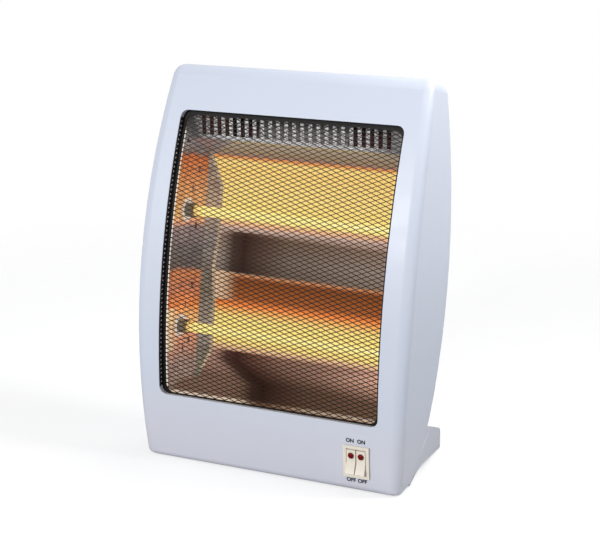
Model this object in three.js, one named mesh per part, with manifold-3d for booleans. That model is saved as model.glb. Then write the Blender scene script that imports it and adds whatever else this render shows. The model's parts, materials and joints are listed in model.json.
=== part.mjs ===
// Halogen heater: a leaning, lens-shaped casing with two quartz tubes behind a wire guard.
// Millimetres, +Z up, the front faces -Y.
import * as THREE from 'three';
import { mergeVertices } from 'three/addons/utils/BufferGeometryUtils.js';
import Module from 'manifold-3d';

const wasm = await Module();
wasm.setup();

// ---------------------------------------------------------------- driving dimensions
// Body axes: x to the right, v back from the foremost line of the front, w up along the body.
const LEAN = THREE.MathUtils.degToRad(10.6);   // how far the body leans back
const APEX_HEIGHT = 186.8;                     // foremost line of the front above the floor
const TOP_REACH = 197.4;                       // foremost line to the top edge
const SIDE_BOW_RADIUS = 3060;                  // sides bow outwards, seen from the front
const FRONT_RADIUS = 557;                      // front bulges forward, seen from the side
const SEAM_DEPTH = 91.9;                       // front to the seam at mid height
const SEAM_RADIUS = 528;                       // seam's curve above mid height
const BASE_DEPTH = 29.25;                      // front to the seam at the floor
const REAR_DEPTH = 25.6;                       // seam to the back of the rear shell
const EDGE_RADIUS = 10;
const BOTTOM_EDGE_RADIUS = 6;
const WALL = 2.5;
const SHELL_GAP = 0.3;
const REAR_INSET = 1.2;                        // rear shell stands in from the front shell
const REAR_LIFT = 2;                           // rear shell's underside above the floor
const FIT_GAP = 0.3;                           // between pieces that touch
const CUT_BEYOND = 20;                         // cutters run on past what they cut

// Across the body: the tubes set the end plates, the window and the casing's width
const TUBE_HALF_LENGTH = 107;
const PLATE_BEYOND_TUBE = 7;
const END_ROOM = 24;                           // end plate to the casing's side
const FRAME_OVER_PLATE = 2.2;                  // window frame covers the plates' front edges
const PLATE_X = TUBE_HALF_LENGTH + PLATE_BEYOND_TUBE;
const HALF_WIDTH = PLATE_X + END_ROOM;

// Window in the front shell
const HEAD_HEIGHT = 43.3;                      // casing above the window
const PANEL_HEIGHT = 66.2;                     // casing below the window
const WINDOW_CORNER = 7;
const RIM_WALL = 2.5;                          // rim turned in round the window
const WINDOW_HALF_WIDTH = PLATE_X - FRAME_OVER_PLATE;
const WINDOW_TOP = TOP_REACH - HEAD_HEIGHT;

// Rear feet, in floor axes: y from the foremost line, z above the floor
const FOOT_TIP_Y = 124.8;
const FOOT_TIP_HEIGHT = 14.8;
const FOOT_TIP_ROUND = 9.5;
const FOOT_SHOULDER_Y = 89.8;
const FOOT_SHOULDER_HEIGHT = 36.2;
const FOOT_ROOT_Y = 40;
const FOOT_ROOT_HEIGHT = 52;
const FOOT_WIDTH = 26;
const FOOT_TOE_IN = 2.6;                       // outer face moves in towards the tip
const ARCH_START_Y = 27;
const ARCH_PEAK_Y = 63.8;
const ARCH_HEIGHT = 7;
const FOOT_HEEL_HEIGHT = 0.8;                  // heel clear of the floor, the pad carries
const PAD_RADIUS = 7;
const PAD_THICKNESS = 3;
const PAD_FROM_TIP = 14;

// Guard net
const GUARD_SETBACK = 7.4;                     // front face to the middle of the net
const GUARD_THICKNESS = 1.2;
const GUARD_STRAND = 2;
const GUARD_COLUMNS = 5;
const GUARD_ROWS = 15;
const GUARD_BORDER = 7;
const GUARD_BORDER_THICKNESS = 2;
const GUARD_OVERLAP = 4;                       // border hidden behind the window rim
const RIM_DEPTH = GUARD_SETBACK - GUARD_BORDER_THICKNESS / 2 - FIT_GAP;

// Reflector
const SHEET = 0.8;
const TROUGH_BACK = 78;                        // depth of the trough floors
const TUBE_DEPTH = 50;
const UPPER_TUBE_BELOW_TOP = 96.6;             // window's top edge down to the upper tube
const LOWER_TUBE_ABOVE_BOTTOM = 61.6;          // window's bottom edge up to the lower tube
const CREASE_DEPTH = 76;                       // depth of the ridge between the troughs
const TROUGH_FLOOR_HALF = 25;                  // half height of each flat trough floor
const TROUGH_TOP_RISE = 55.5;                  // upper tube to the upper trough's top edge
const TROUGH_BOTTOM_DROP = 51.5;               // lower tube to the lower trough's bottom edge
const TROUGH_EDGE_DEPTH = 70;                  // depth of those two edges
const REFLECTOR_LIP = 3;                       // lips beyond the window's top and bottom
const VENT_PANEL_DEPTH = 36;                   // foot of the slotted panel above the upper trough
const VENT_PANEL_HEIGHT = 26;
const VENT_WIDTH = 4.4;
const VENT_COUNT = 24;
const VENT_FROM_SIDE = 18.5;
const VENT_BELOW_TOP = 4.5;
const VENT_LENGTH = 17.5;
const UPPER_TUBE_W = WINDOW_TOP - UPPER_TUBE_BELOW_TOP;

// End plates: straight beside the tubes, then bent in towards the trough floors
const PLATE_BEND_DEPTH = 58;
const PLATE_BEND_IN = 22.5;
const PLATE_BACK_X = PLATE_X - PLATE_BEND_IN;
const PLATE_SLOT_LENGTH = 6;
const PLATE_SLOT_WIDTH = 2;
const PLATE_SLOTS = [[12, 40], [8, 21], [12, -15], [8, -24]];   // behind and above each tube

// Tubes and their ceramic caps
const TUBE_RADIUS = 5;
const TUBE_WALL = 1;
const CAP_RADIUS = 7;
const CAP_FLANGE_RADIUS = 9;
const CAP_FLANGE = 2.5;
const CAP_GRIP = 2.5;                          // length of glass held in the cap
const CAP_BEYOND_PLATE = 5;
const CAP_INNER_X = TUBE_HALF_LENGTH - CAP_GRIP;
const CAP_OUTER_X = PLATE_X + CAP_BEYOND_PLATE;
const CAP_BORE_GAP = 0.3;
const COIL_RADIUS = 2.2;
const TERMINAL_WIDTH = 4.8;
const TERMINAL_THICKNESS = 0.8;
const TERMINAL_LENGTH = 8;
const TERMINAL_ROOT = 5;

// Heat shield
const SHIELD_DEPTH = 86;
const SHIELD_FOLD = 5;
const SHIELD_BELOW_TOP = 4;                    // its ends within the window's height
const SHIELD_ABOVE_BOTTOM = 6;
const SHIELD_INSIDE_PLATE = 18;

// Switch, in its own axes: x right, n out of the panel, h up the panel
const SWITCH_FROM_SIDE = 46.8;
const SWITCH_ABOVE_BASE = 30.3;
const SWITCH_X = HALF_WIDTH - SWITCH_FROM_SIDE;
const BEZEL_WIDTH = 25.2;
const BEZEL_HEIGHT = 32;
const BEZEL_PROUD = 1.8;
const SWITCH_BODY_WIDTH = 22.4;
const SWITCH_BODY_HEIGHT = 29;
const SWITCH_BODY_DEPTH = 20;
const SWITCH_WELL_DEPTH = 9.5;
const ROCKER_WIDTH = 8.6;
const ROCKER_HALF_HEIGHT = 11.9;
const ROCKER_THICKNESS = 4.6;
const ROCKER_THROW = THREE.MathUtils.degToRad(26);
const ROCKER_SPACING = 9.7;
const ROCKER_SIDE_GAP = 0.5;
const ROCKER_END_GAP = 1.2;
const ROCKER_END_CLEARANCE = 0.3;
const ROCKER_LIP = 2.6;
const PIVOT_BELOW_FACE = 3;
const PIN_RADIUS = 1;
const PIN_RUNNING_GAP = 0.07;
const LENS_RADIUS = 3;
const LENS_HEIGHT = 1.5;
const LENS_SEAT = 1.2;
const LENS_FROM_CENTRE = 6.1;
const TAB_WIDTH = 4.8;
const TAB_THICKNESS = 0.8;
const TAB_LENGTH = 7;
const TAB_ROWS = [-8, 4];

// Screws, posts and bosses that close the casing
const POST_INSET = 13;                         // post axis in from the side
const POST_RADIUS = 4.5;
const POST_BELOW_TOP = 34.4;
const POST_ABOVE_BASE = 44.3;
const SCREW_RADIUS = 1.5;
const SCREW_CLEARANCE = 0.15;
const SCREW_GRIP = 12;                         // length inside the front post
const SCREW_HEAD_RADIUS = 3.2;
const SCREW_HEAD = 2.2;
const SCREW_WELL_RADIUS = 4;
const BOSS_WALL = 2.2;
const BOSS_FLOOR = 4;                          // plastic under the screw head

// Rear shell vents
const REAR_VENT_LENGTH = 56;
const REAR_VENT_HEIGHT = 5;
const REAR_VENT_PITCH = 11;
const REAR_VENT_COLUMN = 66;
const UPPER_VENT_BELOW_TOP = 101.4;           // top edge down to the lowest upper row
const UPPER_VENT_ROWS = 6;
const LOWER_VENT_ABOVE_BASE = 72.3;           // base up to the lowest lower row
const LOWER_VENT_ROWS = 4;

// Cord inlet gland in the rear shell, in floor axes
const GLAND_X = -72;
const GLAND_HEIGHT = 32;
const GLAND_BOSS_PROUD = 5.1;                  // boss that carries it, beyond the rear face
const GLAND_RADIUS = 7;
const GLAND_BORE = 3.8;
const GLAND_FLANGE_RADIUS = 9.5;
const GLAND_FLANGE = 2;
const GLAND_INSIDE = 16;
const GLAND_OUTSIDE = 5;
const GLAND_BOSS_WALL = 3.5;
const GLAND_BOSS_LENGTH = 13;

// Tip-over switch, in floor axes
const TIP_X = -70;
const TIP_FROM_FRONT = 21.9;                   // from the front face at the floor
const TIP_PLATE = 1.2;
const TIP_WIDTH = 16;
const TIP_DEPTH = 14;
const TIP_BELOW_REFLECTOR = 11.95;             // top of the bracket under the reflector's foot
const TIP_PIVOT_DROP = 6;                      // top of the bracket down to the pivot
const TIP_PIN_RADIUS = 1.5;
const TIP_EYE_RADIUS = 4;
const TIP_ARM_WIDTH = 4;
const TIP_ARM_THICKNESS = 5;
const TIP_BOB_RADIUS = 6;
const TIP_BOB_DROP = 27;
const TIP_BOB_THICKNESS = 9;
const MICRO_LENGTH = 20;
const MICRO_HEIGHT = 10;
const MICRO_THICKNESS = 6.4;

// Terminal block, in floor axes
const BLOCK_X = 20;
const BLOCK_FROM_FRONT = 21.9;
const BLOCK_LENGTH = 36;
const BLOCK_DEPTH = 14;
const BLOCK_HEIGHT = 12;
const BLOCK_WAYS = 4;
const BLOCK_BORE = 3;

// Lead wires
const LEAD_RADIUS = 1.2;
const LEAD_SIDES = 6;
const LEAD_STEP = 14;
const LEAD_RUN_DEPTH = 76;                     // upright runs behind the bent end plates
const LOWER_RUN_INSIDE_PLATE = 2;
const UPPER_RUN_INSIDE_PLATE = 8;
const LEAD_TERMINAL_DROP = 28;                 // terminal down to the start of its upright run
const LEAD_RUN_ABOVE_LIP = 21;
const UPPER_NEUTRAL_RISE = 14;                 // where the neutral leads pass the block
const LOWER_NEUTRAL_RISE = 6;
const NEUTRAL_SWING = 12;                      // inside their upright runs, past the tip-over switch
const NEUTRAL_CLIMB = 22;
const NEUTRAL_BEHIND_BOB = 12;
const LEAD_PAIR_OFFSET = 1.5;                  // two wires on one tab

// ---------------------------------------------------------------- outline of the body
const frontAt = (w) => (w * w) / (2 * FRONT_RADIUS);

// Reach along the body of a face at a height above the floor.
function reachAtHeight(height, face = frontAt) {
  let w = -APEX_HEIGHT;
  for (let pass = 0; pass < 30; pass += 1) {
    w = (height - APEX_HEIGHT + face(w) * Math.sin(LEAN)) / Math.cos(LEAN);
  }
  return w;
}
const BOTTOM_REACH = reachAtHeight(0);
const LOWER_SEAM_RADIUS = BOTTOM_REACH ** 2 / (2 * (SEAM_DEPTH - BASE_DEPTH - frontAt(BOTTOM_REACH)));

const seamAt = (w) => SEAM_DEPTH - (w * w) / (2 * (w < 0 ? LOWER_SEAM_RADIUS : SEAM_RADIUS));
const rearAt = (w) => seamAt(w) + REAR_DEPTH;
const guardAt = (w) => GUARD_SETBACK + (w * w) / (2 * (FRONT_RADIUS - GUARD_SETBACK));
const sideAt = (w) => HALF_WIDTH - (w * w) / (2 * SIDE_BOW_RADIUS);

// Floor-axes y of a face at a height above the floor.
function floorY(height, face) {
  const w = reachAtHeight(height, face);
  return face(w) * Math.cos(LEAN) + w * Math.sin(LEAN);
}

// Sections turn level towards the floor, so that the base is flat on it.
const LEVEL_START = 72.3;                      // above the base
const LEVEL_END = 16.3;
function levellingAt(w) {
  const share = THREE.MathUtils.clamp((BOTTOM_REACH + LEVEL_START - w) / (LEVEL_START - LEVEL_END), 0, 1);
  return Math.tan(LEAN) * share;
}

// Places along the body that follow its top and its base
const WINDOW_BOTTOM = BOTTOM_REACH + PANEL_HEIGHT;
const LOWER_TUBE_W = WINDOW_BOTTOM + LOWER_TUBE_ABOVE_BOTTOM;
const CREASE_W = (UPPER_TUBE_W + LOWER_TUBE_W) / 2;
const SWITCH_W = BOTTOM_REACH + SWITCH_ABOVE_BASE;
const TOP_POST_W = TOP_REACH - POST_BELOW_TOP;
const LOW_POST_W = BOTTOM_REACH + POST_ABOVE_BASE;
const POST_ROWS = [TOP_POST_W, (TOP_POST_W + LOW_POST_W) / 2, LOW_POST_W];
const lipTop = WINDOW_TOP + REFLECTOR_LIP;
const lipBottom = WINDOW_BOTTOM - REFLECTOR_LIP;
const REFLECTOR_FOOT_HEIGHT = APEX_HEIGHT + lipBottom * Math.cos(LEAN) - guardAt(lipBottom) * Math.sin(LEAN);
const TIP_TOP_HEIGHT = REFLECTOR_FOOT_HEIGHT - TIP_BELOW_REFLECTOR;
const TIP_PIVOT_HEIGHT = TIP_TOP_HEIGHT - TIP_PIVOT_DROP;
const TIP_Y = floorY(0, frontAt) + TIP_FROM_FRONT;
const BLOCK_Y = floorY(0, frontAt) + BLOCK_FROM_FRONT;
const GLAND_SEAT_Y = floorY(GLAND_HEIGHT, rearAt) + GLAND_BOSS_PROUD;

// ---------------------------------------------------------------- solids
const CORNER_STEPS = 4;
const ROW_PITCH = 26;

function toManifold(geometry) {
  const plain = geometry.clone();
  plain.deleteAttribute('normal');
  plain.deleteAttribute('uv');
  const merged = mergeVertices(plain, 1e-4);
  const mesh = new wasm.Mesh({
    numProp: 3,
    vertProperties: new Float32Array(merged.attributes.position.array),
    triVerts: new Uint32Array(merged.index.array),
  });
  return new wasm.Manifold(mesh);
}

function toGeometry(solid) {
  const mesh = solid.getMesh();
  const geometry = new THREE.BufferGeometry();
  geometry.setAttribute('position', new THREE.BufferAttribute(new Float32Array(mesh.vertProperties), 3));
  geometry.setIndex(new THREE.BufferAttribute(new Uint32Array(mesh.triVerts), 1));
  const flat = geometry.toNonIndexed();
  flat.computeVertexNormals();
  return flat;
}

const join = (solids) => solids.reduce((whole, solid) => whole.add(solid));
const cut = (solid, tools) => tools.reduce((rest, tool) => rest.subtract(tool), solid);

function facesToGeometry(points, faces) {
  let volume = 0;
  const a = new THREE.Vector3();
  faces.forEach(([i, j, k]) => {
    volume += a.copy(points[i]).cross(points[j]).dot(points[k]);
  });
  const outward = volume < 0 ? faces.map(([i, j, k]) => [i, k, j]) : faces;
  const geometry = new THREE.BufferGeometry();
  const flat = points.flatMap((point) => [point.x, point.y, point.z]);
  geometry.setAttribute('position', new THREE.Float32BufferAttribute(flat, 3));
  geometry.setIndex(outward.flat());
  return geometry;
}

// Closed solid through rings of equal count, each ring convex.
function ringSolid(rings) {
  const count = rings[0].length;
  const points = rings.flat();
  const faces = [];
  for (let r = 0; r < rings.length - 1; r += 1) {
    for (let i = 0; i < count; i += 1) {
      const next = (i + 1) % count;
      const low = r * count;
      const high = low + count;
      faces.push([low + i, low + next, high + next], [low + i, high + next, high + i]);
    }
  }
  const last = (rings.length - 1) * count;
  for (let i = 1; i < count - 1; i += 1) {
    faces.push([0, i + 1, i], [last, last + i, last + i + 1]);
  }
  return toManifold(facesToGeometry(points, faces));
}

// Section of the casing at reach w: a box with rounded front or back corners.
function bodyRing(w, half, front, back, frontCorner, backCorner) {
  const ring = [];
  const level = levellingAt(w);
  const add = (x, v) => ring.push(new THREE.Vector3(x, v, w + level * (v - frontAt(w))));
  const corner = (cx, cv, radius, start) => {
    if (radius <= 0) {
      add(cx, cv);
      return;
    }
    for (let step = 0; step <= CORNER_STEPS; step += 1) {
      const angle = start + (step / CORNER_STEPS) * (Math.PI / 2);
      add(cx + radius * Math.cos(angle), cv + radius * Math.sin(angle));
    }
  };
  corner(-half + frontCorner, front + frontCorner, frontCorner, Math.PI);
  corner(half - frontCorner, front + frontCorner, frontCorner, Math.PI * 1.5);
  corner(half - backCorner, back - backCorner, backCorner, 0);
  corner(-half + backCorner, back - backCorner, backCorner, Math.PI / 2);
  return ring;
}

// Rows along the body, with a rounded run-in at each end.
function bodyRows(low, high, lowRadius, highRadius) {
  const rows = [];
  for (let step = CORNER_STEPS; step > 0; step -= 1) {
    const angle = (step / CORNER_STEPS) * (Math.PI / 2);
    rows.push({ w: low + lowRadius * (1 - Math.sin(angle)), trim: lowRadius * (1 - Math.cos(angle)) });
  }
  const start = low + lowRadius;
  const end = high - highRadius;
  const count = Math.ceil((end - start) / ROW_PITCH);
  for (let step = 0; step <= count; step += 1) {
    rows.push({ w: start + ((end - start) * step) / count, trim: 0 });
  }
  for (let step = 1; step <= CORNER_STEPS; step += 1) {
    const angle = (step / CORNER_STEPS) * (Math.PI / 2);
    rows.push({ w: end + highRadius * Math.sin(angle), trim: highRadius * (1 - Math.cos(angle)) });
  }
  return rows;
}

const LEAST_CORNER = 0.6;
const shrunk = (corner, trim) => (corner > 0 ? Math.max(corner - trim, LEAST_CORNER) : 0);

function casing({ inset, low, high, lowRadius, highRadius, front, back, frontCorner = 0, backCorner = 0 }) {
  const rings = bodyRows(low, high, lowRadius, highRadius).map(({ w, trim }) => {
    const frontTrim = frontCorner > 0 ? trim : 0;
    const backTrim = backCorner > 0 ? trim : 0;
    return bodyRing(
      w,
      sideAt(w) - inset - trim,
      front(w) + frontTrim,
      back(w) - backTrim,
      shrunk(frontCorner, trim),
      shrunk(backCorner, trim),
    );
  });
  return ringSolid(rings);
}

// Block between two depths that follow the body's arcs, cut square at its ends.
function arcBlock(half, low, high, front, back) {
  const count = Math.ceil((high - low) / ROW_PITCH);
  const rings = [];
  for (let step = 0; step <= count; step += 1) {
    const w = low + ((high - low) * step) / count;
    rings.push([
      new THREE.Vector3(-half, front(w), w),
      new THREE.Vector3(half, front(w), w),
      new THREE.Vector3(half, back(w), w),
      new THREE.Vector3(-half, back(w), w),
    ]);
  }
  return ringSolid(rings);
}

function box(width, depth, height, x = 0, y = 0, z = 0) {
  return toManifold(new THREE.BoxGeometry(width, depth, height).translate(x, y, z));
}

function outline(points) {
  const shape = new THREE.Shape();
  points.forEach(([x, y], index) => (index ? shape.lineTo(x, y) : shape.moveTo(x, y)));
  shape.closePath();
  return shape;
}

// Prism of a (y, z) outline between two x positions.
function prismX(points, left, right) {
  const geometry = new THREE.ExtrudeGeometry(outline(points), { depth: right - left, bevelEnabled: false });
  geometry.applyMatrix4(new THREE.Matrix4().makeBasis(
    new THREE.Vector3(0, 1, 0),
    new THREE.Vector3(0, 0, 1),
    new THREE.Vector3(1, 0, 0),
  ));
  return toManifold(geometry.translate(left, 0, 0));
}

// Prism of an (x, z) outline between two y positions.
function prismY(points, front, back) {
  const geometry = new THREE.ExtrudeGeometry(outline(points), { depth: back - front, bevelEnabled: false });
  return toManifold(geometry.rotateX(Math.PI / 2).translate(0, back, 0));
}

function roundedRectangle(halfWidth, low, high, radius) {
  const points = [];
  const centres = [
    [halfWidth - radius, high - radius, 0],
    [-halfWidth + radius, high - radius, 1],
    [-halfWidth + radius, low + radius, 2],
    [halfWidth - radius, low + radius, 3],
  ];
  centres.forEach(([x, z, quarter]) => {
    for (let step = 0; step <= CORNER_STEPS; step += 1) {
      const angle = (quarter + step / CORNER_STEPS) * (Math.PI / 2);
      points.push([x + radius * Math.cos(angle), z + radius * Math.sin(angle)]);
    }
  });
  return points;
}

// Round piece about an axis; profile holds [radius, position along the axis].
function turned(profile, axis, sides) {
  const points = profile.map(([radius, along]) => new THREE.Vector2(radius, along));
  const geometry = new THREE.LatheGeometry(points, sides);
  if (axis === 'x') geometry.rotateZ(-Math.PI / 2);
  if (axis === 'z') geometry.rotateX(Math.PI / 2);
  const solid = toManifold(geometry);
  return solid.volume() < 0 ? toManifold(flipped(geometry)) : solid;
}

function flipped(geometry) {
  const copy = geometry.clone();
  const index = copy.index.array;
  for (let i = 0; i < index.length; i += 3) {
    const swap = index[i + 1];
    index[i + 1] = index[i + 2];
    index[i + 2] = swap;
  }
  return copy;
}

const rod = (radius, from, to, axis, sides = 16) => turned(
  [[0, from], [radius, from], [radius, to], [0, to]],
  axis,
  sides,
);

const BODY_PLACE = new THREE.Matrix4()
  .makeRotationX(-LEAN)
  .setPosition(0, 0, APEX_HEIGHT);

const move = (solid, x, y, z) => solid.translate([x, y, z]);
const floorToBody = (solid) => solid.transform(BODY_PLACE.clone().invert().toArray());

// ---------------------------------------------------------------- casing shells
const postX = (w) => sideAt(w) - POST_INSET;
const postPlaces = POST_ROWS.flatMap((w) => [-1, 1].map((side) => ({ x: side * postX(w), w, side })));

function windowPrism(grow, front, back) {
  const points = roundedRectangle(
    WINDOW_HALF_WIDTH + grow,
    WINDOW_BOTTOM - grow,
    WINDOW_TOP + grow,
    WINDOW_CORNER + grow,
  );
  return prismY(points, front, back);
}

const DEEP = SEAM_DEPTH + REAR_DEPTH;

function windowRim() {
  const band = arcBlock(
    WINDOW_HALF_WIDTH + RIM_WALL * 2,
    WINDOW_BOTTOM - RIM_WALL * 2,
    WINDOW_TOP + RIM_WALL * 2,
    (w) => frontAt(w) + WALL / 2,
    (w) => frontAt(w) + RIM_DEPTH,
  );
  return band.intersect(windowPrism(RIM_WALL, -DEEP, DEEP));
}

function frontPost({ x, w }) {
  const post = move(rod(POST_RADIUS, frontAt(w) + WALL / 2, seamAt(w), 'y', 12), x, 0, w);
  return post;
}

function pilotHole({ x, w }) {
  const bore = SCREW_RADIUS + SCREW_CLEARANCE;
  return move(rod(bore, seamAt(w) - SCREW_GRIP - 1, seamAt(w) + 1, 'y', 12), x, 0, w);
}

function makeFrontShell(switchOpening) {
  const outer = casing({
    inset: 0,
    low: BOTTOM_REACH,
    high: TOP_REACH,
    lowRadius: BOTTOM_EDGE_RADIUS,
    highRadius: EDGE_RADIUS,
    front: frontAt,
    back: seamAt,
    frontCorner: EDGE_RADIUS,
  });
  const inner = casing({
    inset: WALL,
    low: reachAtHeight(WALL),
    high: TOP_REACH - WALL,
    lowRadius: BOTTOM_EDGE_RADIUS - WALL,
    highRadius: EDGE_RADIUS - WALL,
    front: (w) => frontAt(w) + WALL,
    back: (w) => seamAt(w) + WALL,
    frontCorner: EDGE_RADIUS - WALL,
  });
  const shell = join([outer.subtract(inner), windowRim(), ...postPlaces.map(frontPost)]);
  return cut(shell, [windowPrism(0, -DEEP, DEEP), switchOpening, ...postPlaces.map(pilotHole)]);
}

// Everything in front of the seam, to trim the rear shell.
function seamTrimmer() {
  const wide = HALF_WIDTH * 2;
  const rings = [];
  for (let w = BOTTOM_REACH - ROW_PITCH; w < TOP_REACH + ROW_PITCH * 2; w += ROW_PITCH / 2) {
    rings.push(bodyRing(w, wide, -wide, seamAt(w) + SHELL_GAP, 0, 0));
  }
  return ringSolid(rings);
}

function footProfile() {
  const round = (share) => [
    FOOT_TIP_Y - FOOT_TIP_ROUND + FOOT_TIP_ROUND * Math.cos(share * Math.PI * 0.36),
    FOOT_TIP_HEIGHT + FOOT_TIP_ROUND * Math.sin(share * Math.PI * 0.36),
  ];
  const archPoint = (share) => [
    THREE.MathUtils.lerp(ARCH_START_Y, ARCH_PEAK_Y, share),
    ARCH_HEIGHT * Math.sin(share * Math.PI * 0.5),
  ];
  return [
    [FOOT_ROOT_Y - REAR_DEPTH, 0],
    ...[0, 0.33, 0.67, 1].map(archPoint),
    [FOOT_TIP_Y, FOOT_HEEL_HEIGHT],
    ...[0, 0.33, 0.67, 1].map(round),
    [FOOT_SHOULDER_Y, FOOT_SHOULDER_HEIGHT],
    [FOOT_ROOT_Y, FOOT_ROOT_HEIGHT],
  ];
}

const footOuterX = () => sideAt(BOTTOM_REACH) - REAR_INSET;

function makeFoot(side) {
  const outer = footOuterX();
  const foot = prismX(footProfile(), outer - FOOT_WIDTH, outer);
  const mesh = toGeometry(foot);
  const position = mesh.attributes.position;
  for (let i = 0; i < position.count; i += 1) {
    const share = (position.getY(i) - ARCH_START_Y) / (FOOT_TIP_Y - ARCH_START_Y);
    const toeIn = FOOT_TOE_IN * THREE.MathUtils.clamp(share, 0, 1);
    if (position.getX(i) > outer - 1) position.setX(i, outer - toeIn);
  }
  const solid = toManifold(mesh);
  return side > 0 ? solid : solid.mirror([1, 0, 0]);
}

const padPlace = (side) => ({
  x: side * (footOuterX() - FOOT_TOE_IN - FOOT_WIDTH / 2),
  y: FOOT_TIP_Y - PAD_FROM_TIP,
});

function padSeat(side) {
  const { x, y } = padPlace(side);
  return move(rod(PAD_RADIUS + FIT_GAP, -1, PAD_THICKNESS + FIT_GAP, 'z', 20), x, y, 0);
}

function makePad(side) {
  const { x, y } = padPlace(side);
  return move(rod(PAD_RADIUS, 0, PAD_THICKNESS, 'z', 20), x, y, 0);
}

function rearBoss({ x, w }) {
  const boss = rod(POST_RADIUS + BOSS_WALL, seamAt(w) + SHELL_GAP, rearAt(w) - WALL / 2, 'y', 12);
  return move(boss, x, 0, w);
}

function screwPassage({ x, w }) {
  const bore = rod(SCREW_RADIUS + SCREW_CLEARANCE, seamAt(w) - 1, rearAt(w) + 1, 'y', 12);
  const well = rod(SCREW_WELL_RADIUS, seamAt(w) + SHELL_GAP + BOSS_FLOOR, rearAt(w) + 5, 'y', 12);
  return move(bore.add(well), x, 0, w);
}

function rearVents(startW, rows) {
  const slots = [];
  for (let row = 0; row < rows; row += 1) {
    const w = startW + row * REAR_VENT_PITCH;
    [-1, 0, 1].forEach((column) => {
      const depth = WALL * 8;
      slots.push(box(REAR_VENT_LENGTH, depth, REAR_VENT_HEIGHT, column * REAR_VENT_COLUMN, rearAt(w), w));
    });
  }
  return slots;
}

const atGland = (solid) => move(solid, GLAND_X, 0, GLAND_HEIGHT);

const glandBoss = () => atGland(
  rod(GLAND_RADIUS + GLAND_BOSS_WALL, GLAND_SEAT_Y - GLAND_BOSS_LENGTH, GLAND_SEAT_Y, 'y', 20),
);

const glandSeat = () => atGland(
  rod(GLAND_RADIUS + FIT_GAP, GLAND_SEAT_Y - GLAND_INSIDE * 2, GLAND_SEAT_Y + GLAND_OUTSIDE, 'y', 20),
);

function makeRearShell() {
  const top = TOP_REACH - REAR_INSET;
  const outer = casing({
    inset: REAR_INSET,
    low: reachAtHeight(REAR_LIFT),
    high: top,
    lowRadius: BOTTOM_EDGE_RADIUS,
    highRadius: EDGE_RADIUS,
    front: seamAt,
    back: rearAt,
    backCorner: EDGE_RADIUS,
  });
  const inner = casing({
    inset: REAR_INSET + WALL,
    low: reachAtHeight(REAR_LIFT + WALL),
    high: top - WALL,
    lowRadius: BOTTOM_EDGE_RADIUS - WALL,
    highRadius: EDGE_RADIUS - WALL,
    front: (w) => seamAt(w) - WALL,
    back: (w) => rearAt(w) - WALL,
    backCorner: EDGE_RADIUS - WALL,
  });
  const feet = [-1, 1].map((side) => floorToBody(makeFoot(side)));
  const pan = join([outer, ...feet]).subtract(inner);
  const shell = join([pan, floorToBody(glandBoss()), ...postPlaces.map(rearBoss)]);
  return cut(shell, [
    seamTrimmer(),
    ...postPlaces.map(screwPassage),
    ...rearVents(TOP_REACH - UPPER_VENT_BELOW_TOP, UPPER_VENT_ROWS),
    ...rearVents(BOTTOM_REACH + LOWER_VENT_ABOVE_BASE, LOWER_VENT_ROWS),
    floorToBody(glandSeat()),
    ...[-1, 1].map((side) => floorToBody(padSeat(side))),
  ]);
}

function makeScrew({ x, w }) {
  const seat = seamAt(w) + SHELL_GAP + BOSS_FLOOR + SCREW_CLEARANCE;
  const tip = seamAt(w) - SCREW_GRIP;
  return move(turned([
    [0, tip],
    [SCREW_RADIUS, tip + SCREW_RADIUS],
    [SCREW_RADIUS, seat],
    [SCREW_HEAD_RADIUS, seat],
    [SCREW_HEAD_RADIUS, seat + SCREW_HEAD * 0.6],
    [SCREW_HEAD_RADIUS * 0.6, seat + SCREW_HEAD],
    [0, seat + SCREW_HEAD],
  ], 'y', 12), x, 0, w);
}

function makeGland() {
  const flange = GLAND_SEAT_Y + FIT_GAP;
  const mouth = flange + GLAND_FLANGE + GLAND_OUTSIDE;
  return atGland(turned([
    [GLAND_BORE, GLAND_SEAT_Y - GLAND_INSIDE],
    [GLAND_RADIUS, GLAND_SEAT_Y - GLAND_INSIDE],
    [GLAND_RADIUS, flange],
    [GLAND_FLANGE_RADIUS, flange],
    [GLAND_FLANGE_RADIUS, flange + GLAND_FLANGE],
    [GLAND_RADIUS, mouth],
    [GLAND_BORE, mouth],
    [GLAND_BORE, GLAND_SEAT_Y - GLAND_INSIDE],
  ], 'y', 20));
}

// ---------------------------------------------------------------- guard
const guardHalf = WINDOW_HALF_WIDTH + GUARD_OVERLAP;
const guardLow = WINDOW_BOTTOM - GUARD_OVERLAP;
const guardHigh = WINDOW_TOP + GUARD_OVERLAP;

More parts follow.
